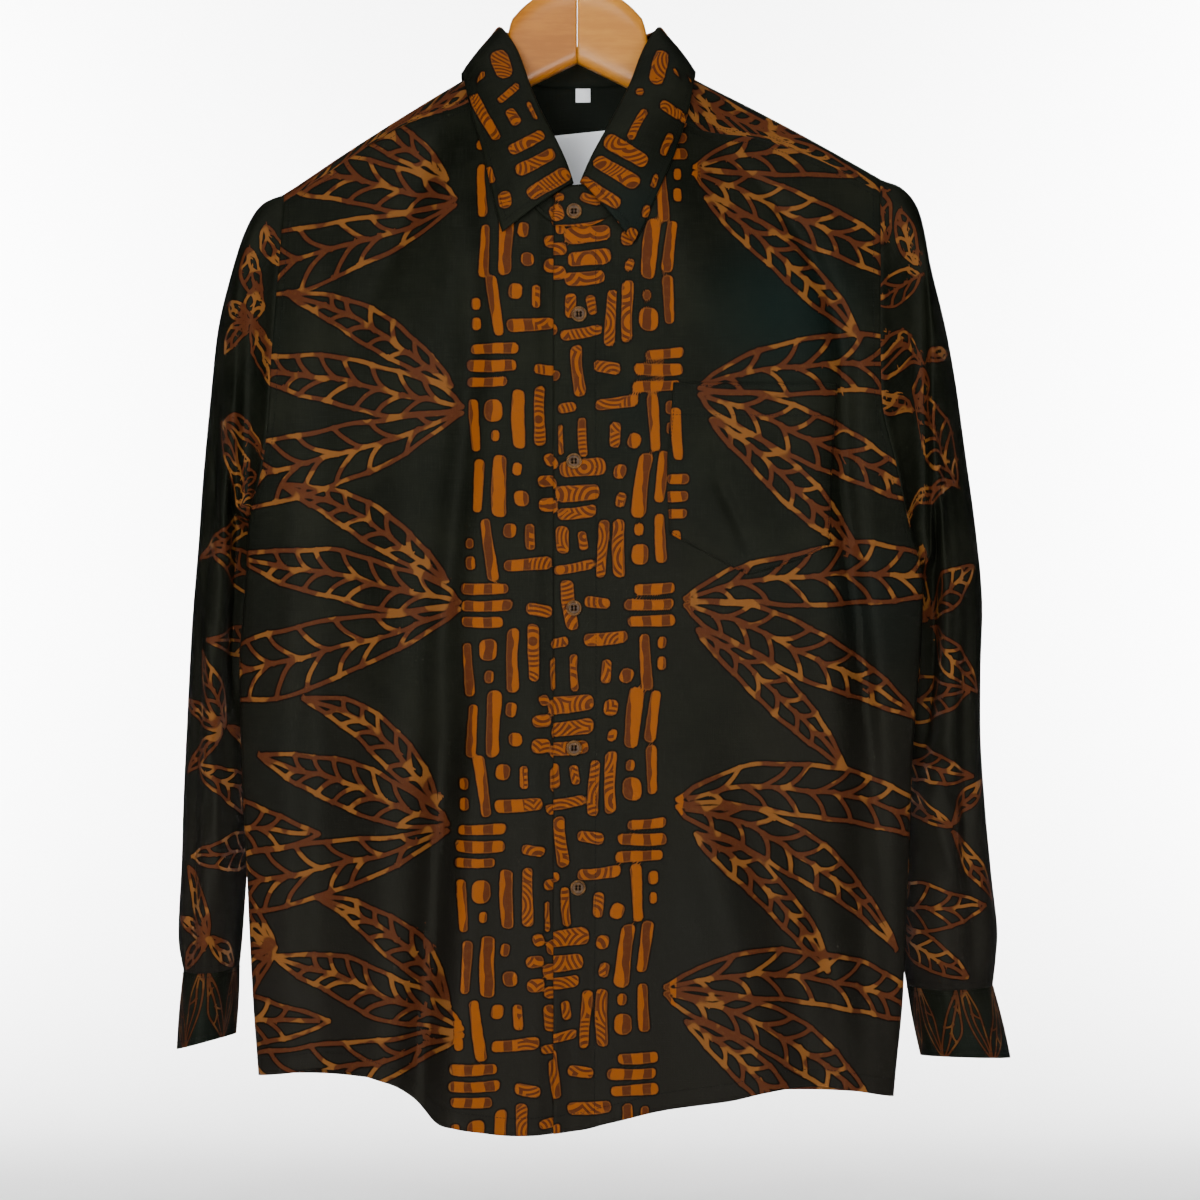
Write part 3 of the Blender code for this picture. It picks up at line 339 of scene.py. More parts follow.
# face, reach in mm, depth in mm, then x, z, strength down its line
CREASES = [
    (1, 8, -11.0, [(88, -171, 0), (130, -206, 0.25), (163, -246, 0.55), (195, -321, 0.9), (199, -433, 1),
                   (204, -500, 1), (213, -560, 1), (222, -640, 1), (227, -700, 0.9), (233, -770, 0.7),
                   (237, -930, 0.3)]),
    (1, 15, 4.2, [(165, -206, 0), (186, -246, 0.5), (212, -321, 0.8), (214, -433, 1), (222, -520, 0.8),
                  (232, -600, 0.4), (236, -700, 0)]),
    (1, 13, 3.0, [(150, -250, 0), (172, -330, 0.6), (177, -433, 0.8), (190, -560, 1), (200, -640, 0.8),
                  (207, -740, 0.5), (214, -930, 0.3)]),
    (1, 11, -9.0, [(-86, -180, 0), (-84, -208, 0.2), (-78, -321, 0.45), (-91, -470, 0.75), (-99, -545, 0.8),
                   (-107, -657, 0.45), (-118.5, -844, 0.3), (-126, -930, 0.25)]),
    (1, 17, 3.0, [(-60, -250, 0), (-57, -321, 0.5), (-66, -470, 0.7), (-76, -600, 1), (-86, -760, 1),
                  (-96, -930, 1)]),
    (1, 20, 3.6, [(-112, -300, 0), (-124, -400, 0.7), (-130, -545, 0.9), (-138, -657, 0.9), (-146, -844, 1),
                  (-152, -930, 1)]),
    (1, 13, -6.0, [(-96, -160, 0), (-104, -180, 0.7), (-126, -235, 1), (-146, -283, 0.9), (-166, -343, 0.3),
                   (-178, -390, 0)]),
    (1, 28, -7.0, [(-170, -370, 0), (-174, -440, 0.6), (-176, -560, 1), (-178, -760, 1), (-180, -930, 1)]),
    (1, 14, 4.0, [(-206, -240, 0), (-208, -330, 0.7), (-212, -470, 0.8), (-214, -700, 1), (-216, -930, 0.8)]),
    (1, 23, -13.0, [(112, -600, 0), (120, -650, 0.4), (129, -690, 0.8), (155, -770, 1), (183, -874, 1),
                    (194, -930, 1)]),
    (1, 17, 4.0, [(86, -640, 0), (94, -700, 0.8), (118, -790, 1), (140, -880, 1), (150, -930, 1)]),
    (1, 15, 3.6, [(150, -640, 0), (160, -700, 0.7), (190, -790, 1), (216, -880, 1), (224, -930, 1)]),
    (1, 6, -2.0, [(102, -424, 0), (106, -440, 0.8), (115, -460, 1), (124, -482, 0.8), (129, -498, 0)]),
    (1, 14, -1.6, [(60, -520, 0), (88, -545, 0.6), (126, -590, 1), (158, -640, 0.5), (170, -670, 0)]),
    (1, 13, -1.2, [(-196, -480, 0), (-180, -500, 0.6), (-160, -520, 0.8), (-132, -560, 0)]),
    (1, 12, -4.5, [(6, -560, 0), (4, -640, 0.4), (0, -740, 0.8), (-2, -840, 1), (-2, -930, 1)]),
    (-1, 14, -3.2, [(-62, -330, 0), (-70, -450, 0.8), (-82, -650, 1), (-90, -930, 1)]),
    (-1, 15, 2.6, [(-36, -320, 0), (-40, -450, 0.8), (-50, -650, 1), (-56, -930, 1)]),
    (-1, 14, -3.0, [(70, -330, 0), (76, -450, 0.8), (84, -650, 1), (88, -930, 1)]),
    (-1, 16, 2.6, [(130, -360, 0), (134, -500, 0.8), (142, -700, 1), (150, -930, 1)]),
    (-1, 15, -2.4, [(-150, -340, 0), (-152, -500, 0.8), (-160, -700, 1), (-166, -930, 1)]),
    (-1, 13, -2.4, [(10, -420, 0), (14, -560, 0.6), (16, -740, 1), (14, -930, 1)]),
]
# angle round the arm and place down the sleeve (mm of run) at its two ends, width in degrees, depth in mm
ARM_CREASES = {
    -1: [(50, 20, 44, 330, 15, -14.0), (74, 10, 78, 300, 15, 3.0), (100, 0, 112, 200, 13, -3.0),
         (128, 120, 60, 190, 16, -3.2), (140, 190, 80, 280, 14, 3.0), (66, 290, 110, 400, 14, -3.4),
         (95, 300, 60, 440, 13, 2.8),
         (120, 380, 84, 560, 14, -3.0), (62, 430, 100, 600, 13, -2.8), (250, 60, 262, 400, 16, -4.0),
         (300, 200, 280, 560, 15, -3.0)],
    1: [(52, 20, 46, 360, 17, -17.0), (78, 20, 74, 300, 13, 3.6), (96, 40, 92, 300, 12, -4.0),
        (122, 0, 118, 260, 15, 2.6),
        (60, 300, 120, 372, 13, -4.0), (50, 330, 110, 430, 12, 3.0), (130, 330, 84, 470, 13, -3.2),
        (104, 430, 74, 600, 14, -3.0), (70, 440, 96, 600, 12, 2.4), (250, 60, 262, 400, 16, -4.0),
        (300, 200, 280, 560, 15, -3.0)],
}

# how far from the armhole seam, and how deep, each sleeve drops away
ARM_DROP = {-1: (19.0, 11.0), 1: (25.0, 15.0)}

BUTTONS = [(-2.0, -238.1), (1.7, -314.6), (-2.0, -423.5), (-2.0, -532.2), (-2.0, -635.7), (1.0, -739.4)]

# z, left edge x, right edge x down the pocket
POCKET_ROWS = [
    (-365.5, 71.6, 193.4), (-368.5, 71.4, 193.2), (-390, 69.6, 191.8), (-420, 67.2, 189.6),
    (-450, 67.4, 188.2), (-476, 69.0, 187.4),
]
# x, z along its pointed lower edge
POCKET_POINT = [(69.0, -477.2), (94, -490.5), (116.1, -502.3), (127.0, -507.6), (147, -502.0), (168, -495.2),
                (187.4, -485.0)]

# x, top z, bottom z, half thickness of the wooden hanger
WOOD = [
    (0.15, -59.6, -119.0, 9.6), (12, -60.9, -124.8, 9.6), (25, -65.2, -131.2, 9.5),
    (37, -72.9, -137.1, 9.4), (46, -81.6, -141.4, 9.2), (50.8, -89.0, -143.6, 9.0),
    (53.2, -100.0, -145.0, 8.8), (54.8, -113.0, -146.6, 8.6), (58.5, -122.0, -149.0, 8.2),
    (72, -129.0, -157.0, 7.5), (100, -145.4, -173.6, 6.8), (130, -164.2, -191.0, 6.6),
    (160, -183.3, -207.6, 6.4), (185, -199.2, -220.6, 6.2), (200, -209.0, -226.0, 5.8),
    (208, -216.0, -225.0, 4.0),
]


def smooth(xs, ys, x):
    """Cubic through a table, flat beyond its ends."""
    xs = np.asarray(xs, float)
    ys = np.asarray(ys, float)
    x = np.clip(np.asarray(x, float), xs[0], xs[-1])
    slope = np.gradient(ys, xs)
    i = np.clip(np.searchsorted(xs, x, side="right") - 1, 0, len(xs) - 2)
    h = xs[i + 1] - xs[i]
    t = (x - xs[i]) / h
    a = (1 + 2 * t) * (1 - t) ** 2 * ys[i] + t * (1 - t) ** 2 * h * slope[i]
    return a + t * t * (3 - 2 * t) * ys[i + 1] + t * t * (t - 1) * h * slope[i + 1]


def added_up(steps, axis=0):
    """The running total along an axis, from 0."""
    return np.insert(np.cumsum(steps, axis=axis), 0, 0, axis=axis)


def unit(ways):
    return ways / np.linalg.norm(ways, axis=-1)[..., None]


def lengths(grid, axis=0):
    """The run of the cloth down each column, or along each row for axis 1."""
    return added_up(np.linalg.norm(np.diff(grid, axis=axis), axis=2), axis)


def step(a, b, x):
    t = np.clip((np.asarray(x, float) - a) / (b - a), 0, 1)
    return t * t * (3 - 2 * t)


def hem_z(x):
    return smooth(HEM[:, 0], HEM[:, 1], x)


def soft_min(a, b, k):
    return np.minimum(a, b) - np.maximum(k - np.abs(a - b), 0) ** 2 / (4 * k)


def edge_x(z, side):
    """x of the side of the body."""
    return smooth(TORSO[:, 0], TORSO[:, 1 if side < 0 else 2], z)


def ridge_z(x):
    return smooth(RIDGE[:, 0], RIDGE[:, 1], x)


def ridge_radius(x):
    away = np.maximum(np.abs(x) - 55, 0) / 42
    return RIDGE_RADIUS + (NECK_RADIUS - RIDGE_RADIUS) * np.exp(-away ** 2)


def bend(face):
    """The angle that the cloth has turned through where it leaves the ridge."""
    return math.atan(1 / (FRONT_SLOPE if face > 0 else BACK_SLOPE))


def over_ridge(rise, x, face):
    """How far out the cloth stands at this drop below the ridge."""
    r = ridge_radius(x)
    turn = bend(face)
    first = r * (1 - math.cos(turn))
    low = np.clip(np.minimum(rise, first), 0, None)
    arc = np.sqrt(np.clip(r * r - (r - low) ** 2, 0, None))
    return np.where(rise < first, arc, r * math.sin(turn) + (rise - first) / math.tan(turn))


def drop_of(t, x, face):
    """How far below the ridge the cloth lies after a run of t from it."""
    r = ridge_radius(x)
    turn = bend(face)
    beyond = r * (1 - math.cos(turn)) + (t - r * turn) * math.sin(turn)
    return np.where(t < r * turn, r * (1 - np.cos(np.minimum(t / r, turn))), beyond)


def run_of(rise, x, face):
    """The run of the cloth from the ridge down to this drop below it."""
    r = ridge_radius(x)
    turn = bend(face)
    first = r * (1 - math.cos(turn))
    beyond = r * turn + (rise - first) / math.sin(turn)
    return np.where(rise < first, r * np.arccos(np.clip(1 - rise / r, -1, 1)), beyond)


def armhole(z, side):
    """How far down the armhole a height lies, from 0 to 1, and how deep the hole is cut there."""
    top = TIP[side][1]
    v = np.clip((top - z) / (top - UNDERARM[side]), 0, 1)
    return v, np.sqrt(1 - v) * (HOLE_DEEP[0] + HOLE_DEEP[1] * v)


def eased_armhole(z, side):
    """The same, without its sharp corner at the underarm."""
    taps = [armhole(z + d, side) for d in range(-64, 65, 8)]
    mean = [sum(t[k] for t in taps) / len(taps) for k in (0, 1)]
    plain = armhole(z, side)
    near = np.exp(-((z - UNDERARM[side]) / 120.0) ** 4)
    return [p + (m - p) * near for p, m in zip(plain, mean)]


def folds(x, z, face):
    """The long straight folds, which fade in below their upper end."""
    total = np.zeros(np.broadcast(x, z).shape)
    for x1, z1, x2, z2, width, depth, where in FOLDS:
        if where != face:
            continue
        part = np.clip((z1 - z) / (z1 - z2), 0, 1)
        centre = x1 + (x2 - x1) * part
        shape = np.exp(-((x - centre) / width) ** 2)
        total += depth * shape * step(0, 0.3, (z1 - z) / (z1 - z2))
    return total


def creases(x, z, face):
    """The softer and sharper folds of the hung cloth: each follows a line and has its own reach."""
    total = np.zeros(np.broadcast(x, z).shape)
    for where, width, depth, path in CREASES:
        if where != face:
            continue
        table = np.array(path, float)[::-1]
        aside = x - smooth(table[:, 1], table[:, 0], z)
        strength = smooth(table[:, 1], table[:, 2], z) * (z < table[-1, 1]) * (z > table[0, 1] - 40)
        total += depth * strength * np.exp(-(aside / width) ** 2)
    return total


def out(x, z, face, creased=True):
    """Depth of the outer face of the cloth: forward for the front, backward for the back."""
    xl, xr = edge_x(z, -1), edge_x(z, 1)
    s = np.clip((2 * x - xl - xr) / (xr - xl), -1, 1)
    near = np.where(s < 0, -1, 1)
    (vl, hl), (vr, hr) = eased_armhole(z, -1), eased_armhole(z, 1)
    v, hole = np.where(near < 0, vl, vr), np.where(near < 0, hl, hr)
    depth = smooth(TORSO[:, 0], TORSO[:, 3 if face > 0 else 4], z)
    edge = face * SIDE_HALF * v + hole
    power = 1 / (1.0 + 0.4 * step(0.7, 1.0, v))
    f = (1 - np.abs(s) ** SECTION_POWER) ** power
    body = edge + (depth - edge) * f
    crease = (folds(x, z, face) + creases(x, z, face)) * (1 - np.abs(s) ** 6) if creased else 0.0
    return soft_min(body, over_ridge(ridge_z(x) - z, x, face), SHOULDER_BLEND) + crease


def at(x, z, face, inset=0.0):
    """Points on the outer face of a panel, or this far behind it."""
    return np.stack([x, -face * (out(x, z, face) - inset), z], -1)


def on_run(x, t):
    """A point of the yoke: t is the run of the cloth from the ridge, forward positive."""
    face = np.where(t >= 0, 1, -1)
    front = at(x, ridge_z(x) - drop_of(np.abs(t), x, 1), 1)
    back = at(x, ridge_z(x) - drop_of(np.abs(t), x, -1), -1)
    return np.where((face > 0)[..., None], front, back)


def curve(points, params):
    """Catmull-Rom through the points, at fractional positions."""
    p = np.asarray(points, float)
    u = np.clip(np.asarray(params, float), 0, len(p) - 1)
    i = np.clip(np.floor(u).astype(int), 0, len(p) - 2)
    t = (u - i)[:, None]
    a = p[np.maximum(i - 1, 0)]
    b, c = p[i], p[i + 1]
    d = p[np.minimum(i + 2, len(p) - 1)]
    a = np.where((i == 0)[:, None], 2 * b - c, a)
    d = np.where((i == len(p) - 2)[:, None], 2 * c - b, d)
    third = 3 * b - a - 3 * c + d
    return 0.5 * (2 * b + (c - a) * t + (2 * a - 5 * b + 4 * c - d) * t ** 2 + third * t ** 3)


def neck_runs(side):
    """The neck seam as (x, run) rows, from the middle of the front to the middle of the back."""
    rows = []
    for x, z, face in NECK[side]:
        rise = max(float(ridge_z(x)) - z, 0.0)
        run = float(run_of(rise, x, face))
        rows.append((x, 0.0 if abs(x) == SHOULDER_X else face * run))
    return rows


def yoke_seam_z(x):
    drop = smooth(YOKE_FRONT[:, 0], YOKE_FRONT[:, 1], x)
    return ridge_z(x) - drop


def back_seam_z(x):
    return BACK_SEAM[0] - BACK_SEAM[1] * (np.abs(x) / 225.0) ** 2


def back_edge_x(z, side):
    v = armhole(z, side)[0]
    return edge_x(z, side) - side * 10 * np.sin(math.pi * v)


# how many strips each stretch of cloth has, about 2 mm each
NECK_N, SEAM_N, LAP_N = 38, 100, 9
HOLE_N, SIDE_N = 150, 236
YOKE_ROWS, YOKE_FRONT_N, YOKE_HOLE_N, YOKE_BACK_N = 84, 8, 34, 150
BACK_HOLE_N, BACK_SIDE_N, BACK_COLS = 96, 196, 230
ARM_COLS, CUFF_ROWS = 168, 30
HOLE_STEPS = (0, 0.03, 0.12, 0.35, 0.65, 1)
SLEEVE_STRIP = 2.1
# over this many rings the points of a sleeve go from their places on the armhole to even ones
EVEN_AFTER = 8
# what a way is multiplied by to lie level, and to point out of the neck
LEVEL, NECK_OUT = np.array([1, 1, 0]), np.array([1, 1.4, 0])


def front_corner(side):
    """Where the seam between yoke and front meets the armhole: x and z."""
    z = TIP[side][1] - 8
    for _ in range(20):
        z = float(yoke_seam_z(edge_x(z, side)))
    return float(edge_x(z, side)), z


def back_corner(side):
    z = -285.0
    for _ in range(20):
        z = float(back_seam_z(back_edge_x(z, side)))
    return float(back_edge_x(z, side)), z


def hole_spacing(n, bias=1.35):
    return 1 - (1 - np.linspace(0, 1, n + 1)) ** bias


def front_top(side):
    """x and z along the top of a front, from the armhole along the yoke and the neck to the front edge."""
    runs = neck_runs(side)[: NECK_CORNER + 1]
    inner = curve(runs, np.linspace(0, NECK_CORNER, NECK_N + 1))[::-1]
    nx = inner[:, 0]
    nz = ridge_z(nx) - drop_of(inner[:, 1], nx, 1)
    cx, cz = front_corner(side)
    sx = np.linspace(cx, nx[0], SEAM_N + 1)
    sz = yoke_seam_z(sx)
    sz[0] = cz
    sz = sz + (nz[0] - sz[-1]) * np.linspace(0, 1, SEAM_N + 1) ** 3
    lap = np.linspace(0, 1, LAP_N + 1)[1:]
    x = np.concatenate([sx[:-1], nx, -side * PLACKET_HALF * lap])
    return x, np.concatenate([sz[:-1], nz, nz[-1] + 1.2 * lap])


def front_plan(side):
    """x and z of every point of a front, rows from the top down, columns from the side to the front edge."""
    xt, zt = front_top(side)
    lap = -side * PLACKET_HALF
    a = (xt - xt[0]) / (lap - xt[0])
    low = float(hem_z(side * HEM_SIDE))
    turn = (zt[0] - UNDERARM[side]) / (zt[0] - low)
    down = np.concatenate([hole_spacing(HOLE_N)[:-1] * turn,
                           turn + (1 - turn) * np.linspace(0, 1, SIDE_N + 1)])
    xb = side * HEM_SIDE + (lap - side * HEM_SIDE) * a
    zb = hem_z(xb)
    z = zt[None, :] + (zb - zt)[None, :] * down[:, None]
    ex = edge_x(z, side)
    top_a = (xt - edge_x(zt, side)) / (lap - edge_x(zt, side))
    across = top_a[None, :] + (a - top_a)[None, :] * down[:, None]
    x = ex + (lap - ex) * across
    x[0] = xt
    return x, z


def front_inset(x, side):
    return PLACKET_STEP * step(*UNDER_STEP, x) if side < 0 else 0.0


def back_spread(n):
    f = np.linspace(0, 1, n + 1)
    return 0.5 - 0.5 * np.cos(math.pi * (0.12 + 0.76 * f)) / math.cos(math.pi * 0.12)


def back_plan():
    """x and z of every point of the back, rows from the yoke down, columns from right to left."""
    ends = {s: back_corner(s) for s in (-1, 1)}
    f = back_spread(BACK_COLS)
    xt = ends[-1][0] + (ends[1][0] - ends[-1][0]) * f
    zt = back_seam_z(xt)
    sides = []
    for s in (-1, 1):
        zc = ends[s][1]
        low = float(hem_z(s * HEM_SIDE))
        hole = zc + (UNDERARM[s] - zc) * hole_spacing(BACK_HOLE_N)[:-1]
        seam = UNDERARM[s] + (low - UNDERARM[s]) * np.linspace(0, 1, BACK_SIDE_N + 1)
        sides.append(np.concatenate([hole, seam]))
    z = sides[0][:, None] + (sides[1] - sides[0])[:, None] * f[None, :]
    down = np.linspace(0, 1, len(z))[:, None]
    z = z + (zt - z[0])[None, :] * (1 - down) ** 2 - 26 * (4 * f * (1 - f))[None, :] ** 3 * down ** 2
    xl, xr = back_edge_x(z, -1), back_edge_x(z, 1)
    x = xl + (xr - xl) * f[None, :]
    x[0] = xt
    return x, z


def ring_of_yoke():
    """Side and row of NECK for each column of the yoke, from one front seam round the back to the other."""
    turn = NECK_SIDE + 1.8
    ends = list(np.linspace(NECK_CORNER, NECK_SIDE, YOKE_FRONT_N + 1)[:-1])
    ends += list(np.linspace(NECK_SIDE, turn, YOKE_HOLE_N + 1)[:-1])
    middle = [(-1 if v <= 0 else 1, NECK_LAST - (NECK_LAST - turn) * abs(v))
              for v in np.linspace(-1, 1, YOKE_BACK_N + 1)]
    return [(-1, u) for u in ends] + middle + [(1, u) for u in ends[::-1]]


def yoke_grid():
    """Points of the yoke and their flat place (x, run over the shoulder); rows run from the neck outwards."""
    m, nf, nh, nb = YOKE_ROWS, YOKE_FRONT_N, YOKE_HOLE_N, YOKE_BACK_N
    runs = {s: neck_runs(s) for s in (-1, 1)}
    inner = np.array([curve(runs[s], [u])[0] for s, u in ring_of_yoke()])
    steps = np.interp(np.linspace(0, 5, nh + 1), range(6), HOLE_STEPS)
    outer = {}
    for s in (-1, 1):
        ex, ez = front_corner(s)
        t0 = float(run_of(float(ridge_z(ex)) - ez, ex, 1))
        tip_x, tip_z = TIP[s]
        part = [(ex + (tip_x - ex) * k / nf, t0 * (1 - k / nf)) for k in range(nf)]
        bz = back_corner(s)[1]
        for f in steps[:-1]:
            z = tip_z + (bz - tip_z) * f
            x = tip_x + (float(back_edge_x(z, s)) - tip_x) * min(f * 8, 1)
            part.append((x, -float(run_of(max(float(ridge_z(x)) - z, 0.0), x, -1)) if f else 0.0))
        outer[s] = np.array(part)
    xl, xr = back_corner(-1)[0], back_corner(1)[0]
    bx = xl + (xr - xl) * back_spread(nb)
    bt = -run_of(ridge_z(bx) - back_seam_z(bx), bx, -1)
    around = np.concatenate([outer[-1], np.stack([bx, bt], -1), outer[1][::-1]])
    w = np.linspace(0, 1, m + 1)[:, None, None]
    flat = inner[None] * (1 - w) + around[None] * w
    grid = on_run(flat[..., 0], flat[..., 1])
    for s in (-1, 1):
        x, z = front_top(s)
        seam = at(x[: SEAM_N + 1], z[: SEAM_N + 1], 1)[::-1]
        seam = curve(seam, np.linspace(0, SEAM_N, m + 1))
        shift = seam - grid[:, 0 if s < 0 else -1]
        for k in range(nf):
            col = k if s < 0 else -1 - k
            grid[:, col] += shift * (1 - k / nf) ** 2
    return grid, flat


def resample(line, n):
    """n points spaced evenly round a closed line."""
    line = np.concatenate([line, line[:1]])
    far = added_up(np.linalg.norm(np.diff(line, axis=0), axis=1))
    t = np.linspace(0, far[-1], n + 1)
    return np.stack([np.interp(t, far, line[:, k]) for k in range(3)], -1)[:n]


def armhole_loop(side, front, back, yoke):
    """Round the armhole: from under the arm up the front, over the shoulder and down the back."""
    end = 0 if side < 0 else -1
    row = yoke[-1] if side < 0 else yoke[-1][::-1]
    over = row[: YOKE_FRONT_N + YOKE_HOLE_N + 1]
    line = np.concatenate([front[HOLE_N::-1, 0], over[1:], back[1: BACK_HOLE_N, end]])
    return resample(line, ARM_COLS)


def bump(angle, centre, width):
    away = (angle - centre + 180) % 360 - 180
    return np.exp(-(away / width) ** 2)


def oval(side, angles, j):
    """One ring of a sleeve, pressed in where its folds run."""
    ox, oy, oz, ix, iy, iz, b = SLEEVE[side][j]
    r = (1 - np.cos(np.radians(angles))) / 2
    across = np.sin(np.radians(angles))
    squash = 1.0
    for centre, first, last, width, depth in SLEEVE_FOLDS[side]:
        on = step(first - 1, first + 2, j + 1) * (1 - step(last, last + 1.5, j + 1))
        squash = squash + depth * on * bump(angles, centre, width)
    mid = np.array([(ox + ix) / 2, (oy + iy) / 2, (oz + iz) / 2])
    p = np.stack([ix + (ox - ix) * r, iy + (oy - iy) * r - b * across, iz + (oz - iz) * r], -1)
    return mid + (p - mid) * np.asarray(squash)[:, None]


def sleeve_grid(side, loop):
    """Rows from the armhole to the cuff, columns round the arm."""
    low, top = loop[0], on_run(np.array(TIP[side][0]), np.array(0.0))
    axis = top - low
    r = np.clip((loop - low) @ axis / (axis @ axis), 0, 1)
    angle = np.degrees(np.arccos(1 - 2 * r))
    angle = np.where(np.arange(len(loop)) > int(np.argmax(r)), 360 - angle, angle)
    angle[0] = 0.0
    even = np.arange(len(loop)) * 360.0 / len(loop)
    count = len(SLEEVE[side])
    ovals = [oval(side, angle + (even - angle) * step(0, EVEN_AFTER, j + 1), j) for j in range(count)]
    coarse = np.array([loop, *ovals])
    run = added_up(np.linalg.norm(np.diff(coarse, axis=0), axis=2).mean(1))
    rows = int(run[-1] / SLEEVE_STRIP)
    down = np.linspace(0, run[-1], rows + 1)
    place = np.interp(down, run, np.arange(count + 1))
    flat = coarse.reshape(count + 1, -1)
    fine = curve(flat, place).reshape(rows + 1, len(loop), 3)
    theta = angle[None, :] + (even - angle)[None, :] * step(0, EVEN_AFTER, place)[:, None]
    away = unit((fine - fine.mean(1)[:, None]) * LEVEL)
    for a1, d1, a2, d2, width, depth in ARM_CREASES[side]:
        t = (down - d1) / (d2 - d1)
        centre = a1 + (a2 - a1) * t
        on = step(0, 0.25, t) * (1 - step(0.7, 1.0, t)) * step(0, 14, down)
        gap = (theta - centre[:, None] + 180) % 360 - 180
        fine = fine + away * (depth * on[:, None] * np.exp(-(gap / width) ** 2))[..., None]
    # beside the seam the head of the sleeve drops behind the edge of the front
    reach, deep = ARM_DROP[side]
    ahead = step(12, 40, theta) * (1 - step(118, 158, theta))
    near = np.exp(-((down - reach) / (0.72 * reach)) ** 2) * step(0, 7, down)
    fine = fine - away * (deep * ahead * near[:, None])[..., None]
    # under the arm the sleeve tucks in behind the side of the body
    turned = np.minimum(theta, 360 - theta)
    level = fine[..., 2]
    on = step(-660, -570, level) * (1 - step(-4, 16, level - UNDERARM[side])) * step(0, 6, down)[:, None]
    short = side * fine[:, 0, 0] - side * edge_x(fine[:, 0, 2], side) + 4.0
    reach = np.exp(-(turned / 55.0) ** 4) * on
    fine[..., 0] -= side * np.clip(short, 0, 14)[:, None] * reach
    fine[..., 1] += np.clip(-2.0 - fine[:, 0, 1], 0, 14)[:, None] * reach
    return fine


def level_measure(g, middle, level=-520.0):
    """Flat measure of a sleeve: across by the level run from its outermost column, up by its columns."""
    cols = g.shape[1]
    levels = np.arange(g[..., 2].min() - 4, g[..., 2].max() + 5, 4.0)
    z = np.minimum.accumulate(g[..., 2] - 0.001 * np.arange(len(g))[:, None])
    x, y = (np.stack([np.interp(levels, z[::-1, j], g[::-1, j, k]) for j in range(cols)], 1) for k in (0, 1))
    run = added_up(np.hypot(np.diff(x, axis=1), np.diff(y, axis=1)), 1)
    run -= run[:, middle: middle + 1]
    u = np.stack([np.interp(z[:, j], levels, run[:, j]) for j in range(cols)], 1)
    down = lengths(g)
    there = np.array([np.interp(level, z[::-1, j], down[::-1, j]) for j in range(cols)])
    return np.stack([u, level + there[None, :] - down], -1)


def seen_leaves(g, flat, rows):
    """Leaves placed by where they are seen on the front of a sleeve, as the flat cloth has them."""
    half = g.shape[1] // 2
    seen, laid = g[:, :half, [0, 2]].reshape(-1, 2), flat[:, :half].reshape(-1, 2)
    leaves = []
    for x1, z1, x2, z2, wide, behind, beyond in rows:
        foot, tip = (laid[np.hypot(*(seen - spot).T).argmin()] for spot in ((x1, z1), (x2, z2)))
        way = tip - foot
        whole = way * (behind + beyond)
        veins = max(1, min(6, round(math.hypot(*whole) / VEIN_EVERY)))
        leaves.append((foot - behind * way, (0, 0, *whole, wide, 0.5, 2.0, veins)))
    return leaves


def cuff_grid(side, ring):
    """An open band that laps itself at the back of the wrist."""
    n = len(ring)
    ox, oz, ix, iz, b = CUFF_END[side]
    angles = np.arange(n) * 360.0 / n
    r = (1 - np.cos(np.radians(angles))) / 2
    swing = np.sin(np.radians(angles))
    low = np.stack([ix + (ox - ix) * r, CUFF_Y - b * swing, iz + (oz - iz) * r + 5 * swing], -1)
    lap = int(n * 2 / 22)
    start = int(round(n * 0.76))
    order = [(start + k) % n for k in range(n + lap)]
    lift = np.zeros(n + lap)
    lift[-lap - lap // 2:] = CUFF_LAP * step(0, 1, np.linspace(0, 1, lap + lap // 2))
    grid = []
    for k in range(CUFF_ROWS + 1):
        line = ring + (low - ring) * k / CUFF_ROWS
        away = unit((line - line.mean(0)) * LEVEL)
        line = line + away * 0.8 * math.sin(math.pi * k / CUFF_ROWS)
        grid.append(line[order] + away[order] * lift[:, None])
    return np.array(grid)


def fold_place(u):
    """The row of FOLD that stands over a row of NECK."""
    return np.interp(u, [0, NECK_CORNER, NECK_SIDE, NECK_LAST], [0, 4.5, 6, 10])


def ring_places():
    """Side and row of NECK for each column of the collar, without the two ends that lap."""
    front = [(-1, u) for u in np.linspace(0, NECK_CORNER, NECK_N + 1)]
    return front + ring_of_yoke()[1:-1] + [(1, u) for _, u in front[::-1]]


def collar_line(table, places):
    return np.array([curve(table[s], [fold_place(u)])[0] for s, u in places])


def stand_grid(base, rows=16):
    """Rows from the fold down to the neck seam, columns from the under end round to the upper end."""
    top = collar_line(FOLD, ring_places())
    left = np.arange(len(top)) < len(top) // 2
    top[:, 1] += PLACKET_STEP * step(-30, -19, top[:, 0]) * left
    lap = np.linspace(0, 1, LAP_N + 1)[1:, None]
    under = top[0] + np.array([PLACKET_HALF + 5.5, 2.8, -1.6]) * lap
    over = top[-1] + np.array([-PLACKET_HALF - 5.5, -0.5, -1.6]) * lap
    for part in (under, over):
        part[:, 2] -= 11 * (1 - np.sqrt(1 - np.clip(lap[:, 0] * 1.02 - 0.3, 0, 0.7) ** 2 / 0.52))
    top = np.concatenate([under[::-1], top, over])
    grid = []
    for k in range(rows + 1):
        w = k / rows
        line = top + (base - top) * w
        grid.append(line + unit(line * NECK_OUT) * math.sin(math.pi * w))
    return np.array(grid)


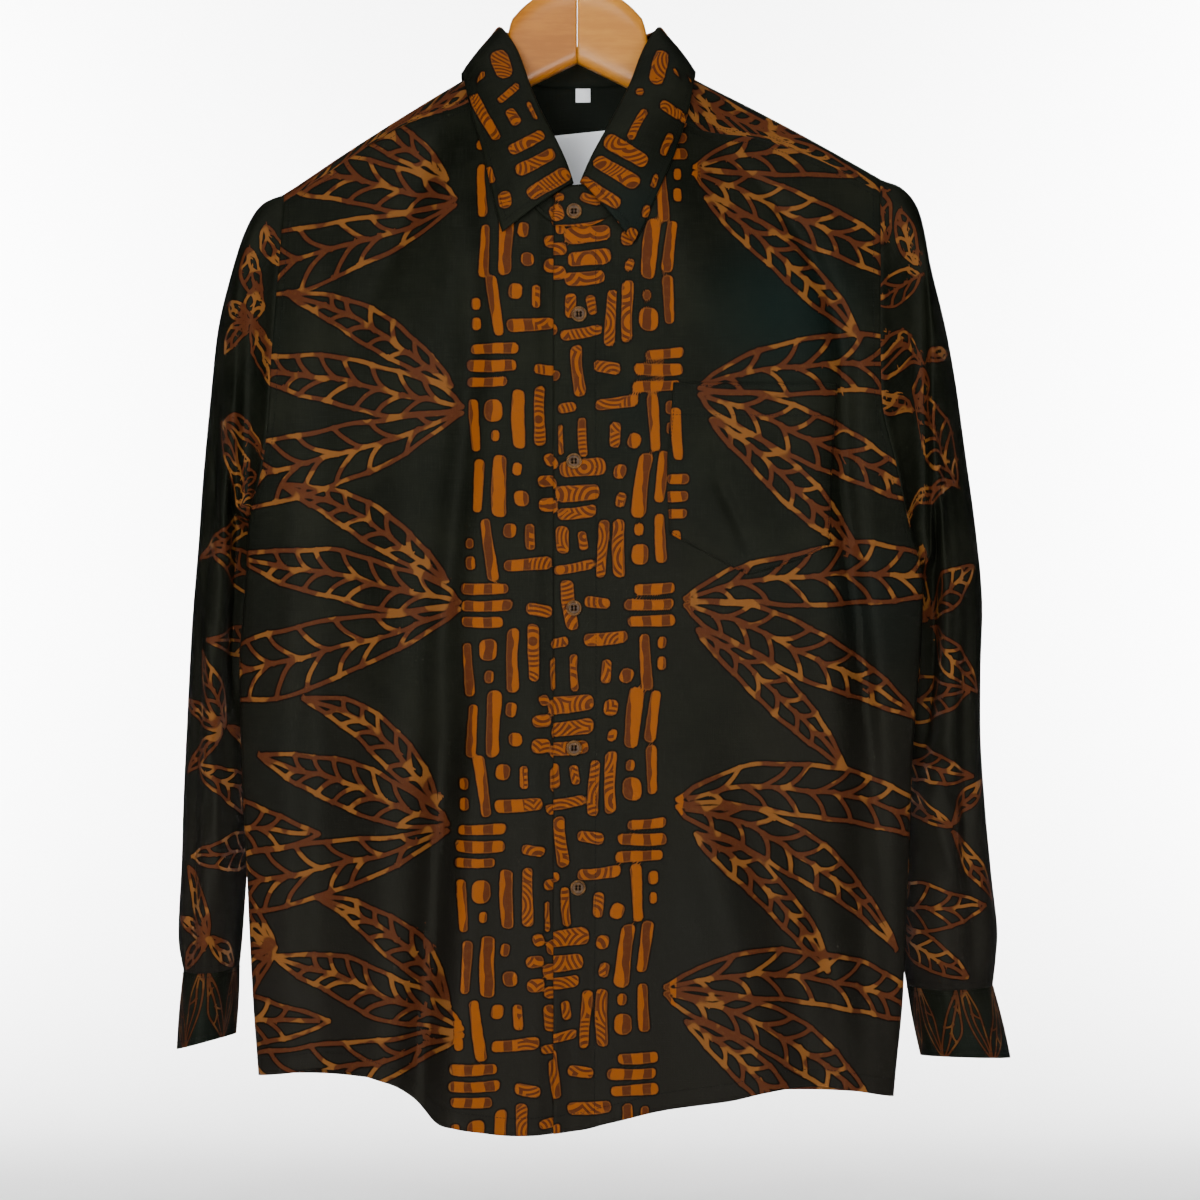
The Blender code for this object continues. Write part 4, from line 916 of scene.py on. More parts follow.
def leaf_grid(stand, rows=30):
    """The fall of the collar, with the points of its under side at the roll."""
    places = ring_places()
    top = stand[0, LAP_N:-LAP_N]
    up = unit(top - stand[4, LAP_N:-LAP_N])
    along = unit(np.gradient(top, axis=0))
    up = unit(up - along * np.einsum("ij,ij->i", up, along)[:, None])
    away = np.cross(along, up)
    outward = np.einsum("ij,ij->i", away, top * NECK_OUT)
    away = np.where((outward < 0)[:, None], -away, away)
    runs = {}
    for s in (-1, 1):
        runs[s] = [(x, f * float(run_of(max(float(ridge_z(x)) - z, 0), x, f))) for x, z, f in LEAF[s]]
        runs[s][6] = (runs[s][6][0], 0.0)
    edge = collar_line(runs, places)
    low = on_run(edge[:, 0], edge[:, 1])
    e = 0.5
    dx = on_run(edge[:, 0] + e, edge[:, 1]) - on_run(edge[:, 0] - e, edge[:, 1])
    dt = on_run(edge[:, 0], edge[:, 1] + e) - on_run(edge[:, 0], edge[:, 1] - e)
    n = unit(np.cross(dx, dt))
    n = np.where((n[:, 2] * 2 + n[:, 1] * np.sign(low[:, 1]) < 0)[:, None], -n, n)
    place = np.array([fold_place(u) for _, u in places])
    lift = COLLAR_CLOTH + LEAF_LIFT + 2.2 * np.exp(-((place - 6) / 1.3) ** 2)
    low = low + n * lift[:, None]
    turns = np.linspace(0, len(ROLL) - 1, 11)
    grid, under = ([top + away * outwards + up * rise for outwards, rise in curve(table, turns)]
                   for table in (ROLL, ROLL_UNDER))
    start = grid[-1]
    swell = 5.0 - 4.2 * np.exp(-((place - 6.4) / 0.8) ** 2)
    for k in range(1, rows + 1):
        w = k / rows
        line = start + (low - start) * w
        grid.append(line + (away + n) * 0.5 * (swell * math.sin(math.pi * w))[:, None])
    return np.array(grid), np.array(under)


# ---- the print, in millimetres on the flat cloth: u across, v up ----

BAND_REPEAT, FAN_REPEAT = 178.0, 154.5
# half width of the band, and of its middle, where the bars are grained and not striped
BAND_HALF, MIDDLE_HALF = 84, 34
# how much the band is stretched, and how much it leans on each panel from this height on
BAND_LEAN = {0: (1.0, 0.0), -1: (1.0, 0.025), 1: (0.978, 0.036)}
LEAN_FROM = -530.0
# what the dye attribute says: leaves darkened by painted shade, leaves, striped bars, grained bars
IN_PAINTED_SHADE, LEAVES, STRIPED, GRAINED = -1.0, 0.0, 1.0, 2.0
# further from any line or bar than the print reaches
FAR = 30.0
# the printed lines of the sleeves and cuffs are this much finer
FINER = {"sleeve": 1.35, "cuff": 2.1}
LINE_HALF = 1.64
# one pair of side veins for this much of a leaf's length, on the sleeves
VEIN_EVERY = 18
FIRST_SEED = 11
# u, v of the middle, length across, length up, turn in degrees; one repeat of the band
BARS = [
    (-67, 12, 36, 8.5, 0), (-66.5, -0.5, 38, 9, 0), (-69.5, -12.5, 31, 8, 1),
    (-79, -46, 7.6, 40, 3), (-65, -33.5, 14, 17, 2), (-63, -52.5, 7, 9.5, 0), (-46.5, -40, 9.8, 46, 0),
    (-31, -36.5, 8.6, 44, 0), (-75, -91.5, 7.8, 40, -3), (-59.5, -88.5, 11, 48, -1), (-46, -77, 8, 11, -8),
    (-42.5, -99, 11, 11.5, 3), (-66, -135.5, 8.6, 47, 8), (-51, -123, 10.5, 12, -5),
    (-35.5, -127, 7.2, 19, 2),
    (-80, -132, 7, 9, 0), (-79.5, -147, 7.6, 10.5, 4), (-38, 30, 36, 9.8, 3),
    (-27, -3.5, 19, 8.8, -9), (-22, -70, 8.5, 9.5, 20), (-24, -86, 14, 9.5, 6), (-23.5, -104, 14, 11, 0),
    (-3, 28.5, 31, 8, 9), (-5.5, 0, 9.8, 38, 6), (16, 2, 20, 9, -6), (-12, -28.5, 14, 8, 10),
    (23.5, -25, 33, 9.4, 5), (0, -50.5, 6.6, 29, 2), (-16, -52, 4.5, 24, 0), (-0.5, -74.5, 35, 13, 6),
    (-1, -93, 33, 12, 4), (-2, -108, 30, 10, 5), (-12, -128.5, 9.5, 20, 0), (3, -129, 7.2, 15, 8),
    (17.5, -137, 8.2, 43, -3), (29.5, -134, 9.2, 45, 0), (46, -139, 14, 17, -2), (44, -121, 7.4, 9.5, 0),
    (60, -126, 8.4, 37, 3), (58, 12.5, 30, 8.4, 3), (54.5, 0.5, 37, 9, 1), (54.5, -12, 36, 8.6, 3),
    (52.5, -41.5, 8.6, 43, 4), (64.5, -28, 7.4, 10, 0), (65, -43.5, 6.6, 10, 0), (24, -49.5, 8.2, 19, -5),
    (38.5, -53.5, 10.5, 12, -20), (28.5, -77, 10.5, 12, -6), (30.5, -98, 7.6, 11, -14),
    (45, -86, 11.5, 47, -8), (59.5, -82.5, 8.8, 39, -8),
]
# from the foot of a fan: u and v where each leaf starts, u and v of its tip, half width, place of its
# widest part, bow to the left, pairs of side veins
FANS = {
    -1: [(-10, 17, -136, 90, 12.5, 0.48, -9, 6), (-1, 2, -178, 36, 18.0, 0.45, -2, 7),
         (-1, -3, -250, -62, 23.5, 0.55, 8, 8)],
    1: [(11, -21, 124, -126, 12.5, 0.48, 5, 6), (1, -3, 184, -88, 18.0, 0.45, 6, 7),
        (1, 2, 246, 8, 22.0, 0.50, 15, 8)],
    "low right": [(-10, 17, -112, 96, 12.5, 0.48, -15, 6), (-1, 2, -147, 52, 17.0, 0.45, -3, 7),
                  (-1, -3, -250, -58, 22.0, 0.55, 8, 8)],
    "low left": [(15, -23, 116, -127, 11.5, 0.45, 9, 6), (1, -3, 172, -112, 16.0, 0.40, 19, 7),
                 (1, 2, 240, -45, 19.5, 0.42, 27, 8)],
    "arm": [(2, 5, 30, 84, 11.0, 0.5, -7, 4), (3, 2, 70, 50, 14.0, 0.5, -4, 5),
            (1, -4, 62, -44, 12.0, 0.5, 6, 4)],
    "arm side": [(-2, 5, -22, 62, 10.0, 0.5, 6, 4), (-3, 2, -40, 26, 11.0, 0.5, 4, 4),
                 (-1, -4, -34, -44, 10.0, 0.5, -5, 4)],
    "arm back": [(-2, 6, -34, 58, 11.0, 0.5, 6, 4), (-3, -4, -58, -58, 13.0, 0.5, 7, 5)],
    "cuff": [(0, 0, -25, -60, 6.5, 0.6, 2, 2), (6, 4, 14, -58, 5.5, 0.5, -2, 1)],
    "yoke": [(0, 0, 70, 34, 13.0, 0.5, -4, 6), (0, -3, 92, -10, 15.0, 0.5, 4, 6),
             (-4, -8, 40, -66, 12.0, 0.5, 4, 5)],
}
# u, v at the foot of each fan, down each front
FEET = {
    -1: [(-96, -74), (-91.8, -229.6), (-84.3, -385.3), (-86.6, -530), (-95.5, -695.3), (-84.3, -845.1)],
    1: [(92, -48), (89.2, -203.7), (89.2, -369.0), (78.8, -526.3), (73.6, -676.0), (66.2, -815.5)],
}
# leaves that come round from the back at the side of the right front: foot, then the leaf as in FANS
SIDE_LEAVES = [
    ((-400, -716), (0, 0, 204, 14, 24.0, 0.5, 9, 8)), ((-395, -884), (0, 0, 207, 42, 23.0, 0.5, 13, 8)),
    ((-230, -787), (0, 0, -110, 84, 12.0, 0.5, -5, 5)), ((-230, -787), (0, 0, -130, 6, 12.0, 0.5, 0, 5)),
    ((-230, -787), (0, 0, -104, -84, 12.0, 0.5, 5, 5)),
]
# leaves on the front of each sleeve: x, z of foot and tip as they hang, half width, how far the leaf
# begins behind its foot and where it ends, as parts of the way from foot to tip
SLEEVE_LEAVES = {
    -1: [
        (-237, -243, -221, -268, 9, 0, 1.3), (-249, -262, -238, -300, 9, 0, 1.0),
        (-247, -317.5, -240, -289.5, 9, 0, 1.0), (-245.5, -319, -228.7, -361.7, 10, 0, 1.1),
        (-247.9, -318, -263.7, -335.2, 7, 0, 1.2), (-248.5, -316, -261.3, -305.9, 6, 0, 1.3),
        (-243.9, -316, -221.7, -344.9, 6, 0, 1.2), (-249, -462, -268, -392, 12, 0, 1.0),
        (-243.9, -468.4, -275.3, -485.8, 8, 0, 1.3),
        (-240, -410.5, -265, -392.2, 6, 0.2, 1.0), (-245.9, -516.7, -277.1, -484.9, 14, 0.8, 1.0),
        (-247.5, -562.1, -280.2, -555.3, 13, 1.0, 1.0), (-267.7, -622.6, -284.3, -563.4, 10, 0, 1.0),
        (-269.3, -623.5, -289.9, -609.5, 6, 0, 1.5), (-269.3, -625.7, -289.5, -650, 6, 0, 1.3),
        (-265.6, -623.5, -246.9, -643.8, 7, 0, 1.6), (-288, -650, -247.5, -681.2, 13, 0, 1.5),
        (-247.5, -720.1, -292.7, -720.1, 14, 0.6, 1.0), (-278.6, -780.3, -291.7, -737.9, 8, 0, 1.2),
        (-279.9, -782.4, -294.2, -774, 5, 0, 1.6), (-278.6, -783.4, -293, -799.6, 6, 0, 1.5),
        (-277.1, -781.5, -264.3, -798, 8, 0, 1.4),
    ],
    1: [
        (233, -253, 224, -217, 8, 0, 1.1), (257, -272, 244, -236, 9, 0, 1.1),
        (258, -280.8, 227, -297.5, 14, 0, 1.3), (260.5, -348.3, 236.7, -335.5, 9, 0, 1.3),
        (262.3, -345.3, 275.7, -341, 5, 0, 1.4), (260.5, -352.3, 256.8, -375.1, 8, 0, 1.2),
        (286, -440, 253, -373, 19, 0, 1.0), (251.3, -384.8, 228.8, -375.1, 6, 0, 1.5),
        (282.4, -437.8, 257.4, -448.7, 6, 0, 1.4), (268.7, -539.8, 298, -504.2, 13, 0, 1.1),
        (266.7, -537.8, 258.7, -487.4, 9, 0, 1.0), (271.5, -546.6, 298, -589.1, 11, 0, 1.2),
        (264.7, -541.8, 252.7, -529, 6, 0, 1.5), (249.9, -603.9, 297.2, -595.9, 17, 0.5, 1.0),
        (249.9, -643.9, 301.2, -660.3, 13, 0.5, 1.0), (281.9, -696.4, 249.1, -666, 10, 0, 1.5),
        (283.5, -694, 303.6, -674, 6, 0, 1.5), (283.5, -700.4, 309.2, -740, 7, 0, 1.4),
        (247.5, -762.9, 310.8, -758.9, 18, 0.4, 1.0), (254.7, -790.9, 297.2, -810.9, 12, 0.6, 1.0),
    ],
}
# the bars on the stand round the top button, by x and z
STAND_BARS = [(-15, -239.5, 11, 13, 20), (11, -229, 16, 7, -20), (3, -250.5, 44, 9, 6), (-13, -227, 8, 6, 0)]
# the bars on the fall of the collar, by x and z seen from the front
COLLAR_BARS = [
    (-56.6, -125.1, 14, 24, 20), (-73.6, -133.7, 12, 6, 35), (-50.9, -147.1, 22, 6.5, 42),
    (-68.6, -166.3, 8, 43, 27),
    (-47.4, -166.3, 8.5, 15, 30), (-33.2, -162, 4, 17, 27), (-36.7, -186.1, 29, 8.5, 29),
    (-29.6, -201, 33, 10.5, 29),
    (-21.8, -218.8, 36, 11.3, 33), (-64.4, -210.3, 6, 13, 15), (-53, -229.4, 11.3, 14, 10),
    (61.9, -126.6, 11.5, 28, -15), (79.6, -132.9, 18, 5.7, -38), (47, -146.4, 7, 6.5, 0),
    (75.4, -162.7, 28.6, 7.8, -30),
    (45.6, -172, 7, 28, -27), (66.9, -187.6, 6, 18.5, -25), (37.8, -194, 37, 12, -31),
    (28.5, -208.9, 38, 12, -33),
    (17.9, -225.2, 35, 9.5, -33), (58.3, -215.2, 5, 12, -20), (51.2, -238.6, 6, 10, -20),
    (28.5, -248.6, 7, 6, 0),
    (41.3, -255.7, 9.5, 12, -20),
]


def leaf_strokes(foot, leaf, seed):
    """The drawn lines of one leaf, from its foot outwards: two edges, the rib and its side veins."""
    du, dv, tip_u, tip_v, half, widest, bow, veins = leaf
    rng = np.random.default_rng(seed)
    start = np.array([foot[0] + du, foot[1] + dv])
    way = np.array([foot[0] + tip_u, foot[1] + tip_v]) - start
    long = np.linalg.norm(way)
    e = way / long
    n = np.array([-e[1], e[0]])
    power = math.log(0.5) / math.log(widest)

    def width(s):
        s = np.clip(s, 0, 1)
        return half * np.sin(math.pi * s ** power) ** (0.70 + 0.12 * s)

    def spot(s, aside):
        s = np.asarray(s, float)
        side = bow * 4 * s * (1 - s) + aside
        return start + e * (s * long)[..., None] + n * side[..., None]

    s = np.linspace(0, 1, 25)
    wave = [1 + 0.06 * np.sin(s * rng.uniform(9, 14) + rng.uniform(0, 6)) for _ in range(2)]
    lines = [spot(s, width(s) * wave[0]), spot(s, -width(s) * wave[1]),
             spot(0.03 + s * 0.93, 0.9 * np.sin(s * 9))]
    t = np.linspace(0, 1, 8)
    for sign in (1, -1):
        for k in range(veins):
            s0 = 0.10 + 0.76 * (k + 0.35 * (sign > 0)) / veins + rng.uniform(-0.014, 0.014)
            s1 = min(s0 + rng.uniform(0.8, 1.15) * width(s0 + 0.06) / long, 0.97)
            rise = (0.62 * t + 0.38 * t ** 2) * width(s1) * wave[0 if sign > 0 else 1][int(s1 * 24)]
            lines.append(spot(s0 + (s1 - s0) * (0.55 * t + 0.45 * np.sin(math.pi * t / 2)), sign * rise))
    return lines


def to_stroke(p, line):
    """How far each point lies from a line of points, negative on its right hand."""
    a, b = line[:-1], line[1:]
    ab = b - a
    ap = p[:, None, :] - a[None]
    t = np.clip(np.einsum("nkj,kj->nk", ap, ab) / np.maximum((ab * ab).sum(1), 1e-9), 0, 1)
    gap = ap - t[..., None] * ab[None]
    far = np.sqrt((gap * gap).sum(-1))
    k = far.argmin(1)
    row = np.arange(len(p))
    turn = ab[k, 0] * ap[row, k, 1] - ab[k, 1] * ap[row, k, 0]
    beyond = ((k == 0) & (t[row, k] <= 0)) | ((k == len(a) - 1) & (t[row, k] >= 1))
    return far[row, k] * np.where((turn < 0) & ~beyond, -1.0, 1.0)


def leaf_lines(flat, corner, first, leaves, kept=3):
    """For the corners of every face, how far they lie from the few drawn lines nearest to that face.

    flat holds u, v of every point, corner the point at each corner and first where each face begins.
    """
    sizes = np.diff(np.append(first, len(corner)))
    face_of = np.repeat(np.arange(len(first)), sizes)
    u, v = flat.T
    wobble = [np.sin(v / 13 + 1.3) + 0.6 * np.sin((u + v) / 7.1),
              np.sin(u / 12 + 0.4) + 0.6 * np.sin((u - v) / 6.3)]
    p = flat + 0.7 * np.stack(wobble, -1)
    middle = np.stack([np.add.reduceat(p[corner, k], first) for k in (0, 1)], -1) / sizes[:, None]
    spread = 2.2 * np.maximum.reduceat(np.hypot(*(p[corner] - middle[face_of]).T), first)
    best, rank = (np.full((kept, len(of)), FAR) for of in (corner, first))
    for k, (foot, leaf) in enumerate(leaves):
        lines = leaf_strokes(foot, leaf, FIRST_SEED + k)
        every = np.concatenate(lines)
        near = ((p > every.min(0) - 9) & (p < every.max(0) + 9)).all(1)
        faces = np.logical_and.reduceat(near[corner], first)
        if not faces.any():
            continue
        place = np.cumsum(near) - 1
        far = np.array([to_stroke(p[near], line) for line in lines])
        here = faces[face_of]
        d = far[:, place[corner[here]]]
        n = sizes[faces]
        begin = added_up(n[:-1])
        wide = np.maximum.reduceat(np.abs(d), begin, axis=1) > spread[faces]
        d = np.where(np.repeat(wide, n, axis=1), np.abs(d), d)
        key = np.concatenate([rank[:, faces], np.add.reduceat(np.abs(d), begin, axis=1) / n])
        order = np.argsort(key, axis=0)[:kept]
        rank[:, faces] = np.take_along_axis(key, order, 0)
        every = np.concatenate([best[:, here], d])
        best[:, here] = np.take_along_axis(every, np.repeat(order, n, axis=1), 0)
    return best


def bars_print(uv, bars):
    """Distance in mm to the edge of the nearest bar, negative inside, with round ends and uneven edges."""
    p = uv.reshape(-1, 2)
    best = np.full(len(p), FAR)
    for k, (u, v, wide, tall, turn) in enumerate(bars):
        reach = math.hypot(wide, tall) / 2 + 7
        near = np.flatnonzero((np.abs(p[:, 0] - u) < reach) & (np.abs(p[:, 1] - v) < reach))
        if not len(near):
            continue
        c, s = math.cos(math.radians(turn)), math.sin(math.radians(turn))
        x, y = (p[near] - (u, v)).T
        q = np.stack([x * c + y * s, y * c - x * s], -1)
        phase = k * 2.399
        swing = 0.55 * math.sin(phase) * np.sin(q / 8.0 + phase)
        q = q + swing[:, ::-1]
        grow = 1 + 0.09 * np.sin(q.sum(1) / 11 + phase)
        half = np.array([wide, tall]) / 2
        r = min(half) * 0.82
        d = np.abs(q) / grow[:, None] - (half - r)
        away = np.hypot(*np.maximum(d, 0).T) + np.minimum(d.max(1), 0) - r
        best[near] = np.minimum(best[near], away)
    return best.reshape(uv.shape[:-1])


def fans(kind, feet):
    """The leaves of a column of fans, each with its foot."""
    return [(foot, leaf) for foot in feet for leaf in FANS[kind]]


def column(u, v, count):
    return [(u, v - FAN_REPEAT * k) for k in range(count)]


def band(side=0, top=4.0, count=6):
    """The bars of the band, repeated down the cloth; it leans a little on each front."""
    scale, lean = BAND_LEAN[side]
    rows = []
    for k in range(count):
        for u, v, *rest in BARS:
            at_v = LEAN_FROM + (top + v - BAND_REPEAT * k - LEAN_FROM) * scale
            rows.append((u + lean * (at_v - LEAN_FROM), at_v, *rest))
    return rows


# ---- flat measure of each piece, so that the print and the weave keep their size ----

TABLE_X, TABLE_Z = np.linspace(-280, 280, 281), np.linspace(-1000, -100, 226)


def level_runs(face):
    """Length of cloth from the middle line at each place of a table, measured level."""
    x, z = np.meshgrid(TABLE_X, TABLE_Z)
    y = out(x, z, face, False)
    run = added_up(np.hypot(np.diff(x, axis=1), np.clip(np.diff(y, axis=1), -4, 4)), 1)
    return run - run[:, len(TABLE_X) // 2: len(TABLE_X) // 2 + 1]


def measure(x, z, face):
    """Flat measure (across, up) of points on a front or the back."""
    table = runs_of[face]
    i = np.clip((z - TABLE_Z[0]) / (TABLE_Z[1] - TABLE_Z[0]), 0, len(TABLE_Z) - 1.001)
    j = np.clip((x - TABLE_X[0]) / (TABLE_X[1] - TABLE_X[0]), 0, len(TABLE_X) - 1.001)
    a, b = i.astype(int), j.astype(int)
    f, g = i - a, j - b
    low = table[a, b] * (1 - g) + table[a, b + 1] * g
    high = table[a + 1, b] * (1 - g) + table[a + 1, b + 1] * g
    return np.stack([low * (1 - f) + high * f, z], -1)


runs_of = {face: level_runs(face) for face in (1, -1)}


# ---- sheets of cloth ----

MM = 0.001
# how far the rim of a sheet stands out, as a part of its wall
RIM_OUT = 0.32


def grid_normals(grid):
    n = np.cross(np.gradient(grid, axis=0), np.gradient(grid, axis=1))
    return n / np.maximum(np.linalg.norm(n, axis=-1), 1e-9)[..., None]


def facing(grid, core):
    """1 or -1, to make the normals point away from core."""
    i, j = len(grid) // 2, grid.shape[1] // 3
    return 1.0 if np.dot(grid_normals(grid)[i, j], grid[i, j] - core) > 0 else -1.0


def placed(name, data):
    obj = bpy.data.objects.new(name, data)
    bpy.context.scene.collection.objects.link(obj)
    return obj


def meshed(name, points, faces, edges=()):
    """A mesh from points in millimetres, shaded smooth."""
    mesh = bpy.data.meshes.new(name)
    mesh.from_pydata((np.asarray(points) * MM).tolist(), edges, faces)
    mesh.update()
    mesh.polygons.foreach_set("use_smooth", np.ones(len(mesh.polygons), bool))
    return mesh


def told(mesh, label, values, domain="POINT"):
    """Adds a named number to every point or corner, for the materials to read."""
    layer = mesh.attributes.new(label, "FLOAT", domain)
    layer.data.foreach_set("value", np.asarray(values).astype(np.float32))


def walls(grid, inner, coarse):
    """Points and faces of a fine outer face, a plainer inner one and a rim, and each point's grid point."""
    rows, cols = grid.shape[:2]
    bottom, last = rows - 1, cols - 1
    outer, back = grid.reshape(-1, 3), inner.reshape(-1, 3)
    number = np.arange(rows * cols).reshape(rows, cols)
    quads = [number[:-1, :-1], number[:-1, 1:], number[1:, 1:], number[1:, :-1]]
    faces = np.stack(quads, -1).reshape(-1, 4).tolist()
    keep_i, keep_j = (sorted({*range(0, n, coarse), n - 1}) for n in (rows, cols))
    chosen, rims, rim_points = {}, {}, []

    def inside(i, j):
        return rows * cols + chosen.setdefault(number[i, j], len(chosen))

    def rim(i, j):
        n = number[i, j]
        if n not in rims:
            rims[n] = len(rims)
            way = outer[n] - grid[min(max(i, 1), rows - 2), min(max(j, 1), cols - 2)]
            away = way / max(np.linalg.norm(way), 1e-9)
            rim_points.append((outer[n] + back[n]) / 2 + away * np.linalg.norm(outer[n] - back[n]) * RIM_OUT)
        return first_rim + rims[n]

    for a, b in zip(keep_i[:-1], keep_i[1:]):
        for c, d in zip(keep_j[:-1], keep_j[1:]):
            ring = [(a, k) for k in (range(c, d) if a == 0 else [c])]
            ring += [(k, d) for k in (range(a, b) if d == last else [a])]
            ring += [(b, k) for k in (range(d, c, -1) if b == bottom else [d])]
            ring += [(k, c) for k in (range(b, a, -1) if c == 0 else [b])]
            faces.append([inside(i, j) for i, j in ring][::-1])
    first_rim = rows * cols + len(chosen)
    for edge in ([(0, j) for j in range(cols)], [(bottom, j) for j in range(last, -1, -1)],
                 [(i, last) for i in range(rows)], [(i, 0) for i in range(bottom, -1, -1)]):
        for p, q in zip(edge[:-1], edge[1:]):
            rp, rq = rim(*p), rim(*q)
            faces += [[number[q], number[p], rp, rq], [rq, rp, inside(*p), inside(*q)]]
    points = np.concatenate([outer, back[list(chosen)], rim_points])
    return points, faces, np.concatenate([np.arange(rows * cols), list(chosen), list(rims)]).astype(int)


def cloth_sheet(name, grid, inner, flip, uv, drawn, skin, coarse=4, leaves=(), fine=1.0):
    """A closed thin sheet with its flat measure, its drawn lines and what the print is told."""
    points, faces, source = walls(grid, inner, coarse)
    if flip < 0:
        faces = [f[::-1] for f in faces]
    mesh = meshed(name, points, faces)
    flat = uv.reshape(-1, 2)[source] * MM
    layer = mesh.uv_layers.new(name="cloth")
    corner, first = np.empty(len(mesh.loops), np.int32), np.empty(len(mesh.polygons), np.int32)
    mesh.loops.foreach_get("vertex_index", corner)
    mesh.polygons.foreach_get("loop_start", first)
    layer.data.foreach_set("uv", flat[corner].astype(np.float32).ravel())
    for label, values in drawn.items():
        told(mesh, label, values.reshape(-1)[source])
    if drawn:
        for k, gaps in enumerate(leaf_lines(flat * 1000, corner, first, leaves)):
            told(mesh, f"line_{k + 1}", gaps * fine, "CORNER")
    mesh.materials.append(skin)
    return placed(name, mesh)


# ---- finishes ----

def blank(name, inputs):
    """A new material with these inputs of its skin set; also its nodes and that skin."""
    m = bpy.data.materials.new(name)
    m.use_nodes = True
    skin = m.node_tree.nodes["Principled BSDF"]
    for key, value in inputs.items():
        skin.inputs[key].default_value = value
    return m, m.node_tree, skin


def put(tree, kind, **given):
    """A node with its settings, and its sockets set or linked by name or number."""
    sockets = given.pop("sockets", {})
    node = tree.nodes.new(kind)
    for key, value in given.items():
        setattr(node, key, value)
    for key, value in sockets.items():
        if isinstance(value, bpy.types.NodeSocket):
            tree.links.new(value, node.inputs[key])
        else:
            node.inputs[key].default_value = value
    return node


def reckon(tree, operation, a, b=0.0, c=0.0):
    return put(tree, "ShaderNodeMath", operation=operation, sockets={0: a, 1: b, 2: c}).outputs[0]


def between(tree, value, low, high):
    sockets = {"Value": value, "From Min": low, "From Max": high}
    return put(tree, "ShaderNodeMapRange", interpolation_type="SMOOTHSTEP", sockets=sockets).outputs["Result"]


def blend_colour(tree, factor, a, b):
    return put(tree, "ShaderNodeMix", data_type="RGBA", sockets={0: factor, 6: a, 7: b}).outputs[2]


def blend_value(tree, factor, a, b):
    return put(tree, "ShaderNodeMix", data_type="FLOAT", sockets={0: factor, 2: a, 3: b}).outputs[0]


def noise(tree, vector, scale, detail=2.0, rough=0.5):
    sockets = {"Vector": vector, "Scale": scale, "Detail": detail, "Roughness": rough}
    return put(tree, "ShaderNodeTexNoise", sockets=sockets).outputs["Fac"]


def asked(tree, label):
    """The named number that told() gave the mesh."""
    return put(tree, "ShaderNodeAttribute", attribute_name=label).outputs["Fac"]


def scaled(tree, vector, scale):
    return put(tree, "ShaderNodeMapping", sockets={"Vector": vector, "Scale": scale}).outputs[0]


def raise_by(tree, skin, height, strength):
    lift = put(tree, "ShaderNodeBump", sockets={"Strength": strength, "Distance": 0.0003, "Height": height})
    tree.links.new(lift.outputs[0], skin.inputs["Normal"])


# colours of the cotton: the dyed ground, where it is lifted by wear, thread, a painted teal sheen, a painted sheen
# patch and painted light towards the hem
GROUND = (0.0022, 0.0029, 0.0015, 1)
GROUND_LIFT = (0.0055, 0.0062, 0.0034, 1)
THREAD_GREY = (0.0072, 0.0080, 0.0056, 1)
SHEEN_TEAL_PAINTED = (0.0022, 0.0050, 0.0044, 1)
SHEEN_PATCH_PAINTED = (0.0010, 0.0062, 0.0058, 1)
HEM_LIGHT_PAINTED = (0.0080, 0.0066, 0.0054, 1)
HALO = (0.0012, 0.0006, 0.0001, 1)
# colours of the print
ORANGE = (0.146, 0.0370, 0.0022, 1)
HONEY = (0.113, 0.0420, 0.0080, 1)
BROWN = (0.047, 0.0116, 0.0035, 1)
BURNT = (0.047, 0.0105, 0.0020, 1)
UNEVEN = (0.092, 0.032, 0.007, 1)
# painted shade: the darker brown laid over the cuffs' print
SHADE_BROWN_PAINTED = (0.030, 0.0085, 0.0022, 1)
EDGE_LINE = (0.115, 0.036, 0.006, 1)
STRIPE, RINGS, WEAVE = 0.0147, 10.5, 0.0006
ROUND = 2 * math.pi


